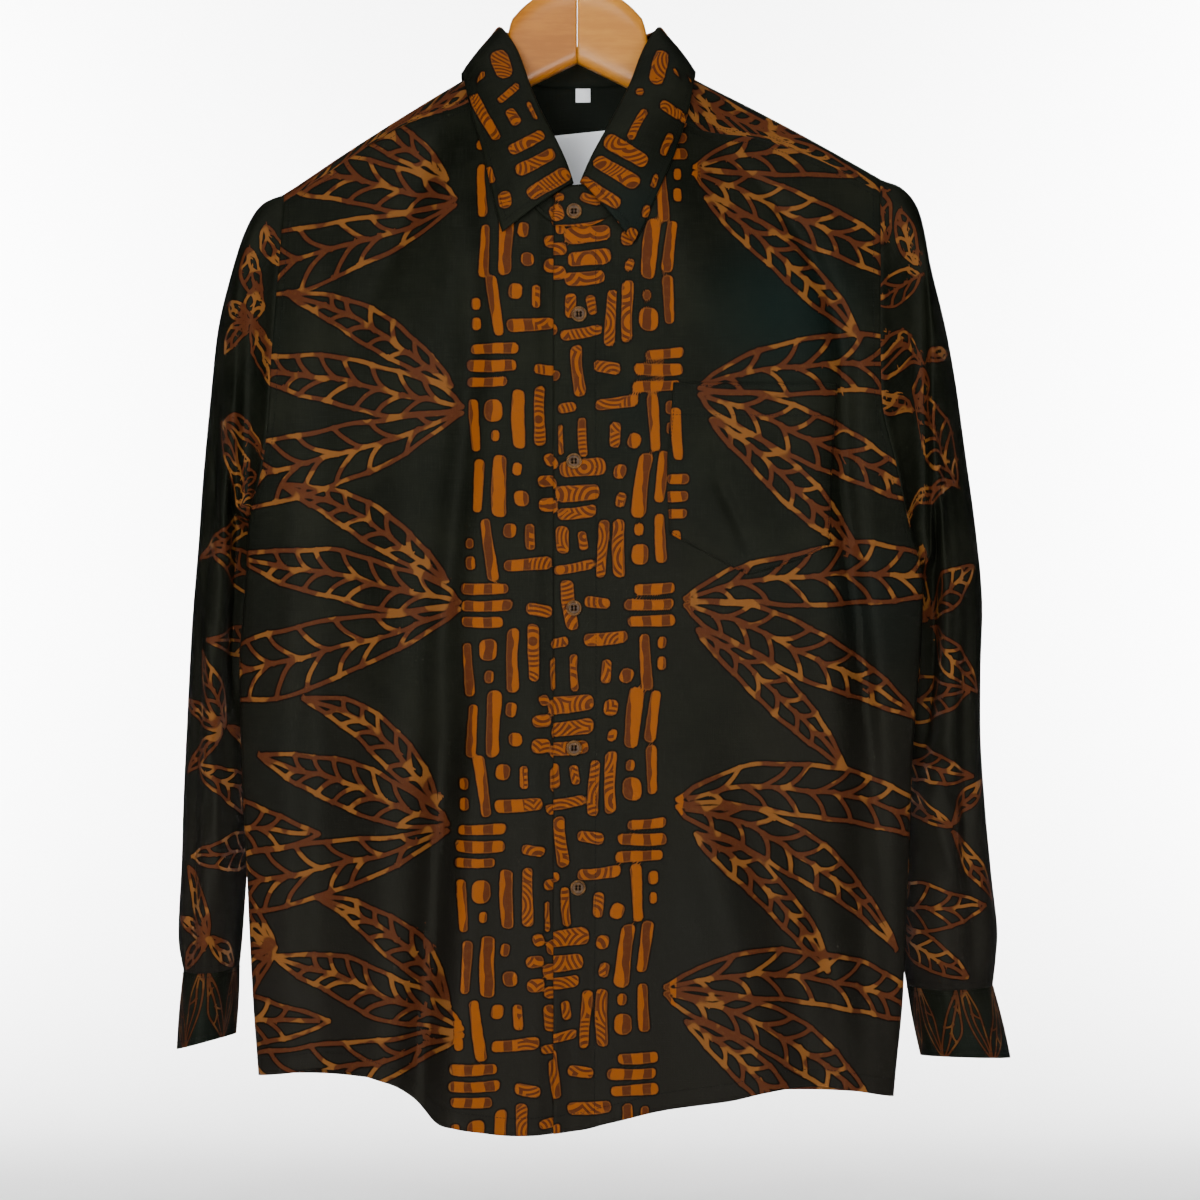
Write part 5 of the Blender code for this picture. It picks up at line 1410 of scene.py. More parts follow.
def batik():
    m, tree, skin = blank("batik_cotton", {"Specular IOR Level": 0.08,
                                           "Specular Tint": (0.88, 0.92, 0.75, 1)})
    kinds = (reckon, blend_colour, blend_value, between, noise)
    sums, mix, pick, ramp, cloud = (partial(kind, tree) for kind in kinds)
    uv = put(tree, "ShaderNodeUVMap", uv_map="cloth").outputs["UV"]
    parts = put(tree, "ShaderNodeSeparateXYZ", sockets={0: uv})
    u, v = parts.outputs["X"], parts.outputs["Y"]

    # mixes a colour in: used for real stains and marks of the cloth, and also for the painted sheen, shade and light
    # below
    def stain_and_painted_light(colour, share, strength, tint):
        return mix(sums("MULTIPLY", share, strength), colour, tint)

    def turned_over(value):
        return sums("SUBTRACT", 1.0, value)

    # how far in millimetres each place lies outside the print, with a shake of the hand in it
    gaps = [sums("ABSOLUTE", asked(tree, f"line_{k}")) for k in (1, 2, 3)]
    line = sums("SMOOTH_MIN", sums("SMOOTH_MIN", gaps[0], gaps[1], 2.6), gaps[2], 2.6)
    line = sums("SUBTRACT", line, LINE_HALF)
    bars = sums("ADD", asked(tree, "bars"), 0.35)
    shake = sums("MULTIPLY_ADD", cloud(uv, 120.0, 2.0), 0.9, -0.45)
    ink = sums("ADD", sums("MINIMUM", line, bars), shake)

    # the printed colour: patches in the leaves, stripes or rings in the bars
    dye = asked(tree, "dye")
    striped, grained = ramp(dye, 0.4, 0.6), ramp(dye, 1.4, 1.6)
    soft = cloud(uv, 60.0, 1.0)
    patches = ramp(cloud(uv, 56.0, 1.0, 0.4), 0.52, 0.58)
    wave = sums("MULTIPLY_ADD", u, ROUND / STRIPE, sums("MULTIPLY", soft, 2.6))
    stripes = ramp(sums("SINE", wave), -0.32, -0.14)
    cells = put(tree, "ShaderNodeTexVoronoi", sockets={"Vector": uv, "Scale": 30.0, "Randomness": 0.9})
    rings = sums("MULTIPLY_ADD", cells.outputs["Distance"], ROUND * RINGS, sums("MULTIPLY", soft, 4.0))
    grain = ramp(sums("SINE", rings), -0.22, 0.22)
    light = pick(grained, pick(striped, patches, stripes), grain)
    under = mix(light, mix(striped, BROWN, BURNT), mix(striped, HONEY, ORANGE))
    # painted shade: where the dye says so (the cuffs), the print is darkened towards brown
    under = stain_and_painted_light(under, ramp(dye, -0.2, -0.8), 0.6, SHADE_BROWN_PAINTED)
    under = stain_and_painted_light(under, ramp(cloud(uv, 240.0, 2.0), 0.45, 1.1), 0.6, UNEVEN)
    under = stain_and_painted_light(under, ramp(ink, -1.25, -0.55), sums("MULTIPLY", striped, 0.45), EDGE_LINE)

    # the dyed ground between, with a painted teal sheen, a painted sheen patch on the chest and painted light towards
    # the hem
    cloudy = cloud(uv, 17.0, 4.0, 0.6)
    slub = sums("ADD", cloud(scaled(tree, uv, (1500, 60, 1)), 1.0, 0.0),
                cloud(scaled(tree, uv, (60, 1500, 1)), 1.0, 0.0))
    ground = mix(ramp(cloudy, 0.35, 0.75), GROUND, GROUND_LIFT)
    ground = stain_and_painted_light(ground, ramp(slub, 0.85, 1.60), 0.58, THREAD_GREY)
    # painted sheen: large soft teal patches laid into the ground colour
    ground = stain_and_painted_light(ground, ramp(cloud(uv, 5.0, 2.0), 0.52, 0.75), 0.7, SHEEN_TEAL_PAINTED)
    # painted sheen: a teal patch round one place of the flat cloth, which lies on the chest of the left front
    sheen_spot = put(tree, "ShaderNodeVectorMath", operation="DISTANCE", sockets={0: uv, 1: (0.155, -0.31, 0)})
    ground = stain_and_painted_light(ground, turned_over(ramp(sheen_spot.outputs["Value"], 0.0, 0.085)), 0.75, SHEEN_PATCH_PAINTED)
    # painted light: the ground is made lighter and warmer towards the hem, by height and a little noise
    low = sums("MULTIPLY_ADD", cloud(uv, 4.0, 2.0), 0.5, sums("MULTIPLY", v, -1.0))
    ground = stain_and_painted_light(ground, ramp(low, 0.55, 1.15), 0.8, HEM_LIGHT_PAINTED)
    ground = mix(turned_over(ramp(ink, 0.2, 1.7)), ground, HALO)
    colour = mix(turned_over(ramp(ink, -0.50, 0.36)), ground, under)
    tree.links.new(colour, skin.inputs["Base Color"])
    rough = put(tree, "ShaderNodeMapRange", sockets={"Value": cloudy, "To Min": 0.56, "To Max": 0.68})
    tree.links.new(rough.outputs["Result"], skin.inputs["Roughness"])
    warp, fill = (sums("SINE", sums("MULTIPLY", way, ROUND / WEAVE)) for way in (u, v))
    raise_by(tree, skin, sums("MULTIPLY_ADD", sums("MULTIPLY", warp, fill), 0.3, slub), 0.22)
    return m


def plain_skin(name, colour, rough, metal=0.0, spec=0.5):
    inputs = {"Base Color": (*colour, 1), "Roughness": rough, "Metallic": metal, "Specular IOR Level": spec}
    return blank(name, inputs)[0]


def wood_skin(name, light, dark):
    m, tree, skin = blank(name, {"Roughness": 0.40, "Specular IOR Level": 0.22, "Coat Weight": 0.12,
                                 "Coat Roughness": 0.16})
    long = scaled(tree, put(tree, "ShaderNodeTexCoord").outputs["Object"], (9, 60, 60))
    grain, figure = noise(tree, long, 6.0, 4.0, 0.6), noise(tree, long, 1.1, 1.0)
    mixed = reckon(tree, "MULTIPLY_ADD", figure, 0.6, reckon(tree, "MULTIPLY", grain, 0.5))
    tone = blend_colour(tree, between(tree, mixed, 0.38, 0.72), light, dark)
    tree.links.new(tone, skin.inputs["Base Color"])
    return m


def solid(name, points, faces, skin):
    mesh = meshed(name, points, faces)
    mesh.materials.append(skin)
    return placed(name, mesh)


def part_of(obj, node, slot):
    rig.ride(obj, "root")
    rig.replaces(obj, node)
    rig.slot(obj, slot)
    return obj


def loft(name, rings, skin):
    """A closed body through rings of points, with a flat cap at each end."""
    rings = np.asarray(rings, float)
    rows, n = rings.shape[:2]
    number = np.arange(rows * n).reshape(rows, n)
    faces = []
    for a, b in zip(number[:-1], number[1:]):
        faces += np.stack([a, np.roll(a, -1), np.roll(b, -1), b], -1).tolist()
    faces += [number[0][::-1].tolist(), number[-1].tolist()]
    i = rows // 2
    a, b, c = rings[i, 0], rings[i, 1], rings[i + 1, 0]
    if np.dot(np.cross(b - a, c - a), a - rings[i].mean(0)) < 0:
        faces = [f[::-1] for f in faces]
    return solid(name, rings.reshape(-1, 3), faces, skin)


# ---- the shirt ----

skin = batik()
grids, flats = {}, {}
for hand, side in HANDS.items():
    x, z = front_plan(side)
    grids["front_" + hand] = at(x, z, 1, front_inset(x, side))
    flats["front_" + hand] = measure(x, z, 1)
x, z = back_plan()
grids["back"], flats["back"] = at(x, z, -1), measure(x, z, -1)
grids["yoke"], flats["yoke"] = yoke_grid()
necks = [grids["front_" + hand][0, SEAM_N:] for hand in HANDS]
grids["collar_stand"] = stand_grid(np.concatenate([necks[0][::-1], grids["yoke"][0, 1:-1], necks[1]]))
grids["collar_fall"], roll_under = leaf_grid(grids["collar_stand"])
for hand, side in HANDS.items():
    g = sleeve_grid(side, armhole_loop(side, grids["front_" + hand], grids["back"], grids["yoke"]))
    grids["cuff_" + hand] = cuff_grid(side, g[-1])
    grids["sleeve_" + hand] = np.concatenate([g, g[:, :1]], 1)
    flats["sleeve_" + hand] = level_measure(grids["sleeve_" + hand], ARM_COLS // 2)
for name in ("cuff_right", "cuff_left", "collar_stand", "collar_fall"):
    run, middle = lengths(grids[name], 1), grids[name].shape[1] // 2
    run -= run[:, middle: middle + 1]
    tall = added_up(np.linalg.norm(np.diff(grids[name], axis=0), axis=2).mean(1))
    flats[name] = np.stack([run, np.broadcast_to(-tall[:, None], run.shape)], -1)

body, neck, under_yoke = np.array([0, -5, -500.0]), np.array([0, 0, -160.0]), np.array([0, 0, -400.0])
cores = {"front_right": body, "front_left": body, "back": body, "yoke": under_yoke, "collar_stand": neck}
sheets, flat_size, turned_out = {}, {}, {}


def cut_size(name, g, flat):
    """Width, length and area of a piece of cloth laid flat."""
    quad = np.cross(g[1:, 1:] - g[:-1, :-1], g[1:, :-1] - g[:-1, 1:])
    flat_size[name] = (np.ptp(flat[..., 0]), np.ptp(flat[..., 1]), np.linalg.norm(quad, axis=-1).sum() / 2)


def cut_out(name, g, inner, sign, flat, drawn, leaves, fine=1.0):
    """One printed piece of the shirt."""
    obj = cloth_sheet(name + "_cloth", g, inner, -sign, flat, drawn, skin, leaves=leaves, fine=fine)
    sheets[name] = part_of(obj, name, "batik")
    turned_out[name] = sign
    cut_size(name, g, flat)


def printed(name, g, flat):
    """The distance to the bars and the dye at each point of a piece, and its leaves."""
    u, v = flat[..., 0], flat[..., 1]
    none = np.full(u.shape, FAR)
    kind, _, hand = name.partition("_")
    side = HANDS.get(hand, 0)
    if kind in ("front", "back"):
        if side:
            low = fans("low right" if side < 0 else "low left", FEET[side][4:])
            leaves = fans(side, FEET[side][:4]) + low + (SIDE_LEAVES if side < 0 else [])
        else:
            leaves = fans(-1, column(-92, -300, 5)) + fans(1, column(92, -280, 5))
        aside = u - BAND_LEAN[side][1] * (v - LEAN_FROM)
        inner = np.where(np.abs(aside + 2) < MIDDLE_HALF, GRAINED, STRIPED)
        return bars_print(flat, band(side)), np.where(np.abs(aside) < BAND_HALF, inner, LEAVES), leaves
    if kind == "collar":
        seen, front = g[..., [0, 2]], g[..., 1] < -6
        if hand == "stand":
            bars = np.where(front, bars_print(seen, STAND_BARS), FAR)
        else:
            rows = band(0, top=64.0, count=3)
            around = [(bar[0] + turn, *bar[1:]) for turn in (-158, 0, 158) for bar in rows]
            bars = np.where(front, bars_print(seen, COLLAR_BARS), bars_print(flat, around))
        return bars, np.full(u.shape, GRAINED), []
    if kind == "sleeve":
        leaves = seen_leaves(g, flat, SLEEVE_LEAVES[side])
        leaves += fans("arm", column(26, -275, 4)) + fans("arm side", column(26, -275, 4))
        return none, np.full(u.shape, LEAVES), leaves + fans("arm back", column(122, -270, 4))
    if kind == "cuff":
        # the cuffs' print is darkened as painted shade
        return none, np.full(u.shape, IN_PAINTED_SHADE), fans("cuff", [(u0, 0) for u0 in range(-130, 171, 40)])
    corners = (((-216, -136), (22, -58)), ((66, 146), (30, -50)))
    feet = [(u0, v0) for across, up in corners for u0 in across for v0 in up]
    return none, np.full(u.shape, LEAVES), fans("yoke", feet)


for name, g in grids.items():
    kind = name.split("_")[0]
    n = grid_normals(g)
    if name == "collar_fall":
        sign = 1.0 if n[-2, 3, 1] < 0 else -1.0
    else:
        sign = facing(g, cores[name] if name in cores else g[len(g) // 2].mean(0))
    inner = g - n * sign * (COLLAR_CLOTH if kind == "collar" else CLOTH)
    if name == "collar_fall":
        inner[: len(roll_under)] = roll_under
    bars, dye, leaves = printed(name, g, flats[name])
    cut_out(name, g, inner, sign, flats[name], {"bars": bars, "dye": dye}, leaves, FINER.get(kind, 1.0))

# ---- pocket ----

POCKET_COLS, POCKET_DOWN = 76, 84


def pocket_plan():
    """x and z over the pocket, rows from its top down to the point."""
    table = np.array(POCKET_ROWS)[::-1]
    f = np.linspace(0, 1, POCKET_COLS + 1)
    xb = table[0, 1] + (table[0, 2] - table[0, 1]) * f
    point = np.array(POCKET_POINT)
    zb = np.interp(xb, point[:, 0], point[:, 1])
    top = table[-1, 0]
    z = top + (zb - top)[None, :] * np.linspace(0, 1, POCKET_DOWN + 1)[:, None]
    xl, xr = smooth(table[:, 0], table[:, 1], z), smooth(table[:, 0], table[:, 2], z)
    return xl + (xr - xl) * f[None, :], z


def raised(x, z, face, lift):
    """Points that stand off a panel by this much, and the way they face."""
    p = at(x, z, face)
    dx = at(x + 1, z, face) - at(x - 1, z, face)
    dz = at(x, z + 1, face) - at(x, z - 1, face)
    n = unit(np.cross(dx, dz))
    n = np.where((n[..., 1] * face > 0)[..., None], -n, n)
    return p + n * np.asarray(lift)[..., None], n


x, z = pocket_plan()
along = np.linspace(0, 1, POCKET_COLS + 1)[None, :]
down = np.linspace(0, 1, POCKET_DOWN + 1)[:, None]
puff = 1.35 + 0.9 * np.sin(math.pi * along) ** 0.6 * np.exp(-(down / 0.22) ** 2)
puff = puff + 0.35 * step(0.165, 0.15, down) + 0.3 * np.sin(math.pi * along) * np.sin(math.pi * down)
outer, n = raised(x, z, 1, puff)
grids["pocket"] = outer
laid = measure(x, z, 1)
flat = laid + np.array([0.0, 2.0])
stubs = [(74.5, v, 17, 8.2, 1) for v in (-437, -449.5, -462)]
bars = bars_print(laid, stubs + [(74.0, -404, 8, 40, 2), (74.0, -488, 7.6, 30, 2)])
drawn = {"bars": bars, "dye": np.where(np.abs(flat[..., 0]) < BAND_HALF, STRIPED, LEAVES)}
sign = 1.0 if np.dot(grid_normals(outer)[40, 40], n[40, 40]) > 0 else -1.0
cut_out("pocket", outer, outer - n * CLOTH, sign, flat, drawn, fans(1, FEET[1]))

# ---- labels in the neck ----

# how far a label stands off the yoke
LABEL_OFF = 1.1


def label(node, x1, x2, z1, z2, tilt, skin, n=14):
    """A small woven label that lies on the inside of the back of the neck."""
    x, z = np.meshgrid(np.linspace(x1, x2, n + 1), np.linspace(z1, z2, n + 1))
    z = z + (x - (x1 + x2) / 2) * tilt
    wave = 0.25 * np.sin((x - x1) / (x2 - x1) * math.pi * 2.2 + 0.4)
    outer, way = raised(x, z, -1, -CLOTH - LABEL_OFF - 0.45 + wave)
    back, _ = raised(x, z, -1, -CLOTH - LABEL_OFF + wave)
    sign = 1.0 if np.dot(grid_normals(outer)[n // 2, n // 2], -way[n // 2, n // 2]) > 0 else -1.0
    flat = np.stack([x, z], -1)
    cut_size(node, outer, flat)
    sheets[node] = part_of(cloth_sheet(node + "_cloth", outer, back, -sign, flat, {}, skin, 2), node, "label")


def label_skin():
    m, tree, skin = blank("woven_label", {"Roughness": 0.6})
    uv = put(tree, "ShaderNodeUVMap", uv_map="cloth").outputs["UV"]
    yarn = noise(tree, scaled(tree, uv, (300, 2600, 1)), 1.0, 0.0)
    tree.links.new(blend_colour(tree, yarn, (0.88, 0.93, 0.98, 1), (0.95, 0.98, 1.0, 1)),
                   skin.inputs["Base Color"])
    raise_by(tree, skin, yarn, 0.25)
    return m


white = label_skin()
label("neck_label", -36, 36, -166, -218, 0.1, white)
label("size_tab", -1.4, 9.8, -132.0, -142.2, 0.0, white)

# ---- buttons ----

def horn_skin():
    m, tree, skin = blank("horn_button", {"Roughness": 0.45, "Specular IOR Level": 0.18})
    cloudy = noise(tree, put(tree, "ShaderNodeTexCoord").outputs["Object"], 260.0, 3.0, 0.6)
    tone = blend_colour(tree, between(tree, cloudy, 0.35, 0.68), (0.046, 0.0185, 0.0036, 1),
                        (0.100, 0.045, 0.0092, 1))
    # painted shade: the holes are painted near-black; the dished face is also made darker than the rim
    dark = blend_colour(tree, asked(tree, "deep"), tone, (0.010, 0.006, 0.004, 1))
    tree.links.new(dark, skin.inputs["Base Color"])
    return m


# r, height of a button from the middle of its back over its rim, as parts of its radius and thickness
BUTTON_RIM = [(0.001, 0), (0.72, 0), (0.93, 0.25), (1.0, 0.62), (0.985, 0.85), (0.93, 1.0), (0.86, 1.0),
              (0.78, 0.86)]
BUTTON_THICK = 2.6
# where the four holes lie and how wide they are at the top and foot, as parts of the radius; their depth
HOLES_AT, HOLE_EDGE, HOLE_DEPTH = 0.21, (0.17, 0.11), 1.5
THREAD_RADIUS = 0.34


def button(node, place, way, radius, skin, thread):
    """A turned button with a rim, a dished face and four holes, sewn on with thread."""
    name = node + "_horn"
    way = np.asarray(way, float)
    side = np.cross(way, (0, 0, 1.0))
    side /= np.linalg.norm(side)
    up = np.cross(side, way)
    n = 40
    a = ROUND * np.arange(n) / n + 0.3
    rings, deep = [], []
    for r, h in BUTTON_RIM + [(r, 0.66 + 0.10 * r) for r in np.linspace(0.70, 0.02, 12)]:
        px, pz = radius * r * np.cos(a), radius * r * np.sin(a)
        hole = np.zeros(n)
        if h > 0.6 and r < 0.7:
            for hx, hz in ((-1, -1), (-1, 1), (1, -1), (1, 1)):
                gap = np.hypot(px - hx * radius * HOLES_AT, pz - hz * radius * HOLES_AT)
                hole = np.maximum(hole, step(radius * HOLE_EDGE[0], radius * HOLE_EDGE[1], gap))
        high = h * BUTTON_THICK - HOLE_DEPTH * hole
        rings.append(place + px[:, None] * side + pz[:, None] * up + high[:, None] * way)
        # deep marks painted shade in the holes (1) and the darker dished face (0.42)
        deep.append(np.maximum(hole, 0.42 if h > 0.6 and r < 0.75 else 0.0))
    obj = loft(name, rings, skin)
    told(obj.data, "deep", np.concatenate(deep))
    part_of(obj, node, "button")
    low, reach = place + way * (0.55 * BUTTON_THICK), radius * 0.23
    for k, x in enumerate((-1, 1)):
        a, b = low + side * reach * x - up * reach, low + side * reach * x + up * reach
        mid = (a + b) / 2 + way * (0.42 * BUTTON_THICK)
        path = [a, a * 0.5 + mid * 0.5 + way * 0.35, mid, b * 0.5 + mid * 0.5 + way * 0.35, b]
        strand = rod(f"{name}_thread_{k + 1}", path, THREAD_RADIUS, thread, 8)
        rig.ride(strand, "root")
        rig.slot(strand, "batik")


def rod(name, path, radius, skin, sides):
    """A round bar along a path; radius may be one value or one for each point."""
    path = np.asarray(path, float)
    way = unit(np.gradient(path, axis=0))
    u = np.cross(way[0], (0.3, 0.2, 1.0))
    a = ROUND * np.arange(sides)[:, None] / sides
    rings = []
    for p, d, r in zip(path, way, np.broadcast_to(radius, len(path))):
        u = u - d * np.dot(u, d)
        u /= np.linalg.norm(u)
        rings.append(p + (u * np.cos(a) + np.cross(d, u) * np.sin(a)) * r)
    return loft(name, rings, skin)


horn = horn_skin()
thread_skin = plain_skin("sewing_thread", (0.0022, 0.0024, 0.0018), 0.7, 0, 0.08)
for k, (bx, bz) in enumerate(BUTTONS):
    y = -float(out(np.array(bx), np.array(bz), 1)) - 0.9
    if k == 0:
        y = float(grids["collar_stand"][..., 1].min()) - 0.3
    button(f"button_{k + 1}", np.array([bx, y, bz]), (0, -1.0, 0), BUTTON_DIA / 2, horn, thread_skin)
for hand in HANDS:
    middle = grids["cuff_" + hand][CUFF_ROWS // 3: CUFF_ROWS * 2 // 3].reshape(-1, 3)
    x, y = middle[middle[:, 1].argmax()][:2]
    place = np.array([x, y + 0.3, middle[:, 2].mean()])
    button("cuff_button_" + hand, place, (0, 1.0, 0), BUTTON_DIA / 2 - 0.5, horn, thread_skin)

# ---- hanger ----

# how much the left arm rises above the right one from this x on, and how boxy the section is (1 is an oval)
ARM_RISE, RISE_FROM, BOXY = 0.085, 60, 0.55


def wood_arm(hand, skin, n=44):
    side = HANDS[hand]
    table = np.array(WOOD)
    spans = ((0.15, 60, 34), (60, 200, 46), (200, 208, 7))
    xs = np.unique(np.concatenate([np.linspace(*span) for span in spans]))
    top, low, half = (smooth(table[:, 0], table[:, k], xs) for k in (1, 2, 3))
    a = ROUND * (np.arange(n) + 0.5) / n
    wide, high = (np.sign(w) * np.abs(w) ** BOXY for w in (np.cos(a), np.sin(a)))
    rings = []
    for x, t, b, h in zip(xs, top, low, half):
        rise = (x - RISE_FROM) * ARM_RISE if side > 0 and x > RISE_FROM else 0.0
        rings.append(np.stack([np.full(n, side * x), h * wide, (t + b) / 2 + rise + (t - b) / 2 * high], -1))
    part_of(loft(f"hanger_arm_{hand}_wood", rings, skin), "hanger_arm_" + hand, "hanger_wood")


wood_arm("right", wood_skin("varnished_wood_light", (0.305, 0.108, 0.0065, 1), (0.238, 0.077, 0.0045, 1)))
wood_arm("left", wood_skin("varnished_wood_dark", (0.375, 0.150, 0.0120, 1), (0.310, 0.114, 0.0080, 1)))
turn = np.radians(np.linspace(-90, 205, 60))
wire = [(0, 0, z) for z in np.linspace(WOOD_TOP + 0.7, -45.5, 8)]
wire += [(HOOK_RADIUS * math.cos(a), 0, -20 + HOOK_RADIUS * math.sin(a)) for a in turn]
thick = np.full(len(wire), HOOK_WIRE / 2)
thick[-3:] = [1.95, 1.75, 1.2]
steel = plain_skin("brushed_steel", (0.60, 0.60, 0.58), 0.28, 1.0)
part_of(rod("hanger_hook_wire", wire, thick, steel, 20), "hanger_hook", "hook_wire")

# ---- sewing ----

def stitch_tree():
    """Stitches laid end to end along the edges of a guide: each is a small flattened bead of thread."""
    tree = bpy.data.node_groups.new("row_of_stitches", "GeometryNodeTree")
    inputs = {"Guide": "Geometry", "Pitch": "Float", "Length": "Float", "Thickness": "Float",
              "Thread": "Material"}
    for label, kind in inputs.items():
        tree.interface.new_socket(label, in_out="INPUT", socket_type="NodeSocket" + kind)
    tree.interface.new_socket("Stitches", in_out="OUTPUT", socket_type="NodeSocketGeometry")
    given, result = tree.nodes.new("NodeGroupInput").outputs, tree.nodes.new("NodeGroupOutput")

    def do(kind, settings=None, **sockets):
        return put(tree, kind, **(settings or {}), sockets=sockets).outputs[0]

    line = do("GeometryNodeMeshToCurve", Mesh=given["Guide"])
    spaced = do("GeometryNodeResampleCurve", {"mode": "LENGTH"}, Curve=line, Length=given["Pitch"])
    bead = do("GeometryNodeMeshUVSphere", Segments=6, Rings=4, Radius=0.5)
    size = do("ShaderNodeCombineXYZ", X=given["Length"], Y=given["Thickness"], Z=given["Thickness"])
    thread = do("GeometryNodeTransform", Geometry=bead, Scale=size)
    turn = do("FunctionNodeAlignRotationToVector", {"axis": "X"}, Vector=do("GeometryNodeInputTangent"))
    laid = do("GeometryNodeInstanceOnPoints", Points=spaced, Instance=thread, Rotation=turn)
    real = do("GeometryNodeRealizeInstances", Geometry=laid)
    tree.links.new(do("GeometryNodeSetMaterial", Geometry=real, Material=given["Thread"]), result.inputs[0])
    return tree


def sewn(name, lines, thread, pitch=2.6, long=2.1, thick=0.42):
    """Rows of stitches along lines of points."""
    points, edges = [], []
    for line in lines:
        edges += [(len(points) + k, len(points) + k + 1) for k in range(len(line) - 1)]
        points += list(line)
    guide = placed(name + "_guide", meshed(name + "_guide", points, [], edges))
    change = guide.modifiers.new("stitches", "NODES")
    change.node_group = row_of_stitches
    given = {"Pitch": pitch * MM, "Length": long * MM, "Thickness": thick * MM, "Thread": thread}
    for item in row_of_stitches.interface.items_tree:
        if item.in_out == "INPUT" and item.name in given:
            change[item.identifier] = given[item.name]
    graph = bpy.context.evaluated_depsgraph_get()
    made = bpy.data.meshes.new_from_object(guide.evaluated_get(graph), depsgraph=graph)
    bpy.data.objects.remove(guide)
    made.name = name
    made.polygons.foreach_set("use_smooth", np.ones(len(made.polygons), bool))
    obj = placed(name, made)
    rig.ride(obj, "root")
    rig.slot(obj, "batik")
    return obj


def lifted(name, lift=0.12):
    """The outer face of a sheet, moved out so that thread can lie on it."""
    return grids[name] + grid_normals(grids[name]) * (turned_out[name] * lift)


def inside_edge(g, edge, far, cut=(0, None)):
    """A line this far in from the top, foot, first or last edge of a grid, cut short at its ends."""
    if edge in ("first", "last"):
        g = g.transpose(1, 0, 2)
    if edge in ("foot", "last"):
        g = g[::-1]
    run = lengths(g)
    line = [[np.interp(far, run[:, j], g[:, j, k]) for k in range(3)] for j in range(g.shape[1])]
    return np.array(line)[slice(*cut)]


# edge, how far in, where the row of stitches begins and ends along it, and the rows of the grid it lies on
FRONT_SEAMS = [("top", 5.0, (2, SEAM_N - 2)), ("foot", 13.0), ("first", 6.0, (0, None), (0, HOLE_N + 1))]
CUFF_SEAMS = [("top", 3.0), ("foot", 5.0), ("last", 4.0, (2, -3)), ("first", 4.0, (2, -3))]
ON_HOLE = ((0, None), (0, BACK_HOLE_N + 1))
ON_FALL = ((0, -3), (12, None))
SEAMS = {
    "front_right": FRONT_SEAMS + [("last", 4.0, (3, -5))],
    "front_left": FRONT_SEAMS + [("last", 31.5, (3, -5))],
    "back": [("top", 5.0, (3, -3)), ("foot", 13.0), ("first", 6.0, *ON_HOLE), ("last", 6.0, *ON_HOLE)],
    "yoke": [("foot", 5.0, (4, -4)), ("first", 4.0, (6, -6)), ("last", 4.0, (6, -6))],
    "sleeve_right": [("foot", 5.0)],
    "sleeve_left": [("foot", 5.0)],
    "cuff_right": CUFF_SEAMS,
    "cuff_left": CUFF_SEAMS,
    "collar_fall": [("foot", 6.0, (3, -3)), ("first", 6.0, *ON_FALL), ("last", 6.0, *ON_FALL)],
    "collar_stand": [("foot", 3.0)],
    "pocket": [("first", 1.8), ("last", 1.8), ("foot", 1.8), ("top", 24.0, (1, -1)), ("top", 2.0, (1, -1))],
}


def seam_lines(name):
    for edge, far, *limits in SEAMS[name]:
        cut, rows = (*limits, (0, None), (0, None))[:2]
        yield inside_edge(lifted(name)[slice(*rows)], edge, far, cut)


row_of_stitches = stitch_tree()
sewing = {name: sewn(name + "_stitches", seam_lines(name), thread_skin) for name in SEAMS}

hangs_from = {
    "yoke": ["hanger_arm_right_wood", "hanger_arm_left_wood"],
    "collar_stand": ["yoke_cloth"], "collar_fall": ["collar_stand_cloth"], "pocket": ["front_left_cloth"],
    "cuff_right": ["sleeve_right_cloth"], "cuff_left": ["sleeve_left_cloth"],
    "neck_label": ["yoke_cloth"], "size_tab": ["yoke_cloth"],
}
for name, sheet in sheets.items():
    wide, long, area = flat_size[name]
    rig.sheet(sheet, flat=(wide / 1000, long / 1000), held="folded" if name == "collar_fall" else "hung",
             rests_on=hangs_from.get(name, ["yoke_cloth"]), area=min(area, wide * long) / 1e6,
             with_pieces=[sewing[name]] if name in sewing else [])

# ---- stage, lights and camera ----

def paper_skin():
    """White paper with a front only: its back neither shows nor stops light."""
    inputs = {"Base Color": (0.97, 0.97, 0.97, 1), "Roughness": 0.9, "Specular IOR Level": 0.2}
    m, tree, skin = blank("paper", inputs)
    behind = put(tree, "ShaderNodeNewGeometry").outputs["Backfacing"]
    clear = put(tree, "ShaderNodeBsdfTransparent").outputs[0]
    mixed = put(tree, "ShaderNodeMixShader", sockets={0: behind, 1: skin.outputs[0], 2: clear}).outputs[0]
    tree.links.new(mixed, tree.nodes["Material Output"].inputs["Surface"])
    return m


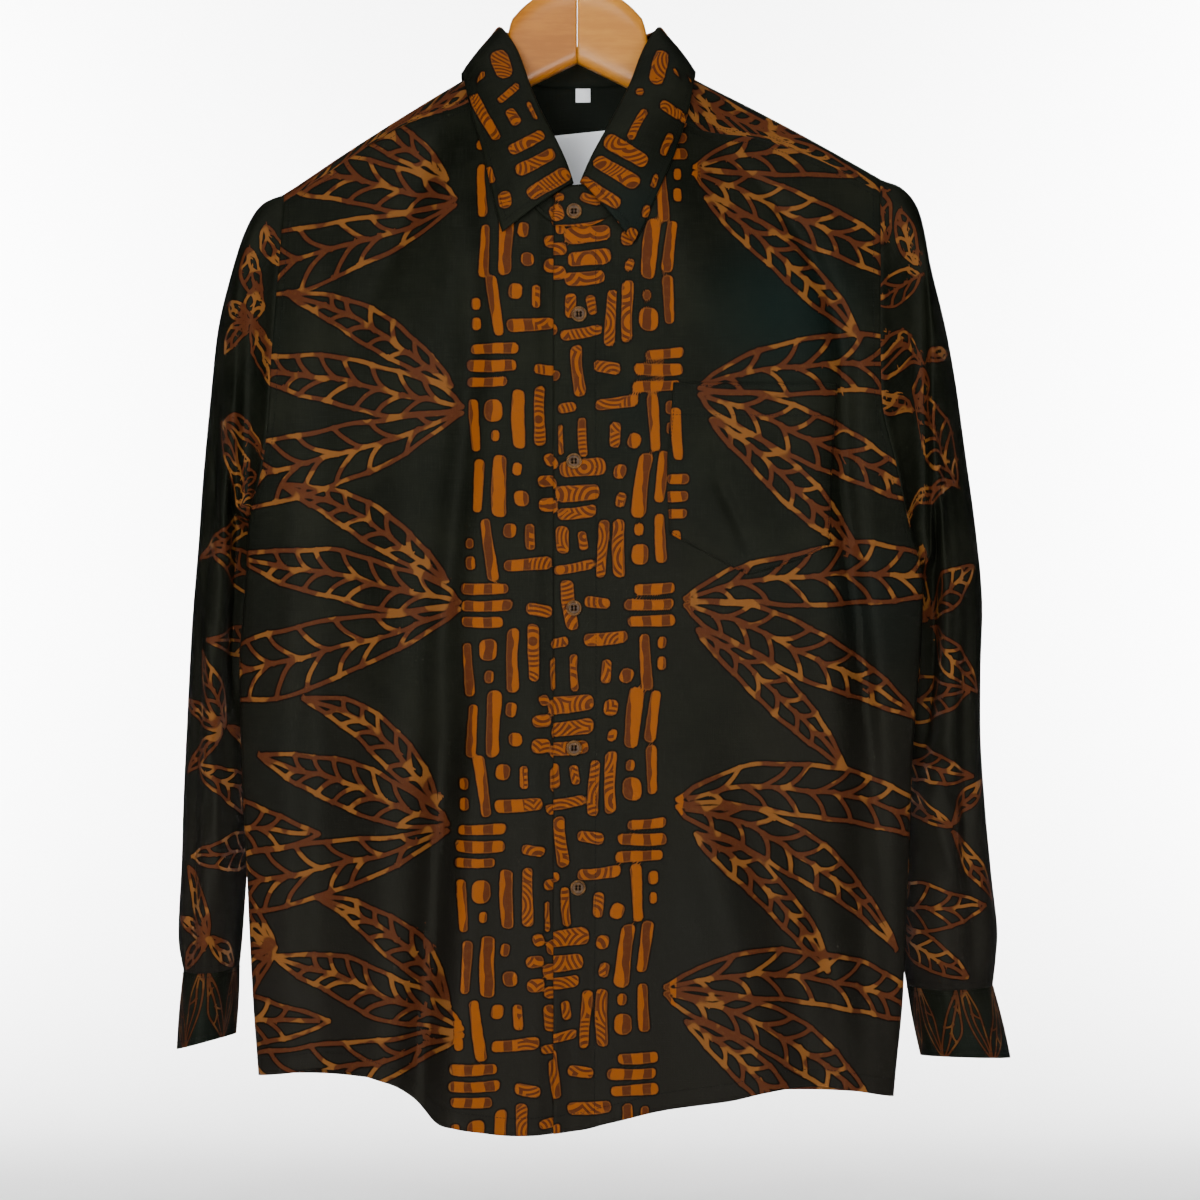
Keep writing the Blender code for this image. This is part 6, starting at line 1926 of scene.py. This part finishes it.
def sheet_of_paper():
    """In metres: level under the shirt, then curved up behind it."""
    profile = [(-3.2, -0.99), (0.35, -0.99)]
    curved = np.radians(np.arange(6, 91, 6))
    profile += [(0.35 + 0.9 * math.sin(a), -0.09 - 0.9 * math.cos(a)) for a in curved]
    profile += [(1.25, 3.2)]
    points = [(x, y, z) for x in (-3.5, 3.5) for y, z in profile]
    n = len(profile)
    faces = [(k, k + n, k + n + 1, k + 1) for k in range(n - 1)]
    return solid("studio_paper", np.array(points) * 1000, faces, paper_skin())


def lamp(name, place, aim, size, power, spread=180):
    data = bpy.data.lights.new(name, "AREA")
    data.shape = "RECTANGLE"
    data.size, data.size_y = size
    data.energy = power
    data.spread = math.radians(spread)
    obj = placed(name, data)
    obj.location = place
    way = Vector(aim) - Vector(place)
    obj.rotation_euler = way.to_track_quat("-Z", "Y").to_euler()
    return obj


paper = sheet_of_paper()
paper.visible_glossy = False
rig.stage(paper)
lamp("key", (-0.8, -2.7, -0.45), (0, 0, -0.58), (1.2, 1.2), 76)
lamp("fill", (0.9, -2.5, -1.1), (0, 0, -0.86), (1.2, 0.8), 92)
lamp("above_front", (0.1, -1.9, 0.75), (0, 0, -0.15), (0.7, 0.5), 14)
lamp("overhead", (0, -0.3, 1.9), (0, 0.0, -0.5), (2.2, 1.4), 26)
for side in (-1, 1):
    lamp("paper_lamp", (side * 1.5, 0.35, -0.2), (side * 0.45, 1.5, -0.6), (0.5, 1.8), 112, 110)
world = bpy.data.worlds.new("room")
world.use_nodes = True
room_light = world.node_tree.nodes["Background"].inputs
room_light["Color"].default_value = (0.95, 0.97, 1.0, 1)
room_light["Strength"].default_value = 0.26
world.cycles_visibility.glossy = False
bpy.context.scene.world = world

data = bpy.data.cameras.new("camera")
data.sensor_width = 36
data.lens = 96
camera = placed("camera", data)
camera.location = (0.01725, -2.43, -0.52625)
camera.rotation_euler = (math.radians(90), 0, 0)
bpy.context.scene.camera = camera

boxes = [[float(value) for corner in box for value in corner] for box in (cad_box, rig.bounds())]
with open("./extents.json", "w") as f:
    json.dump(boxes, f)
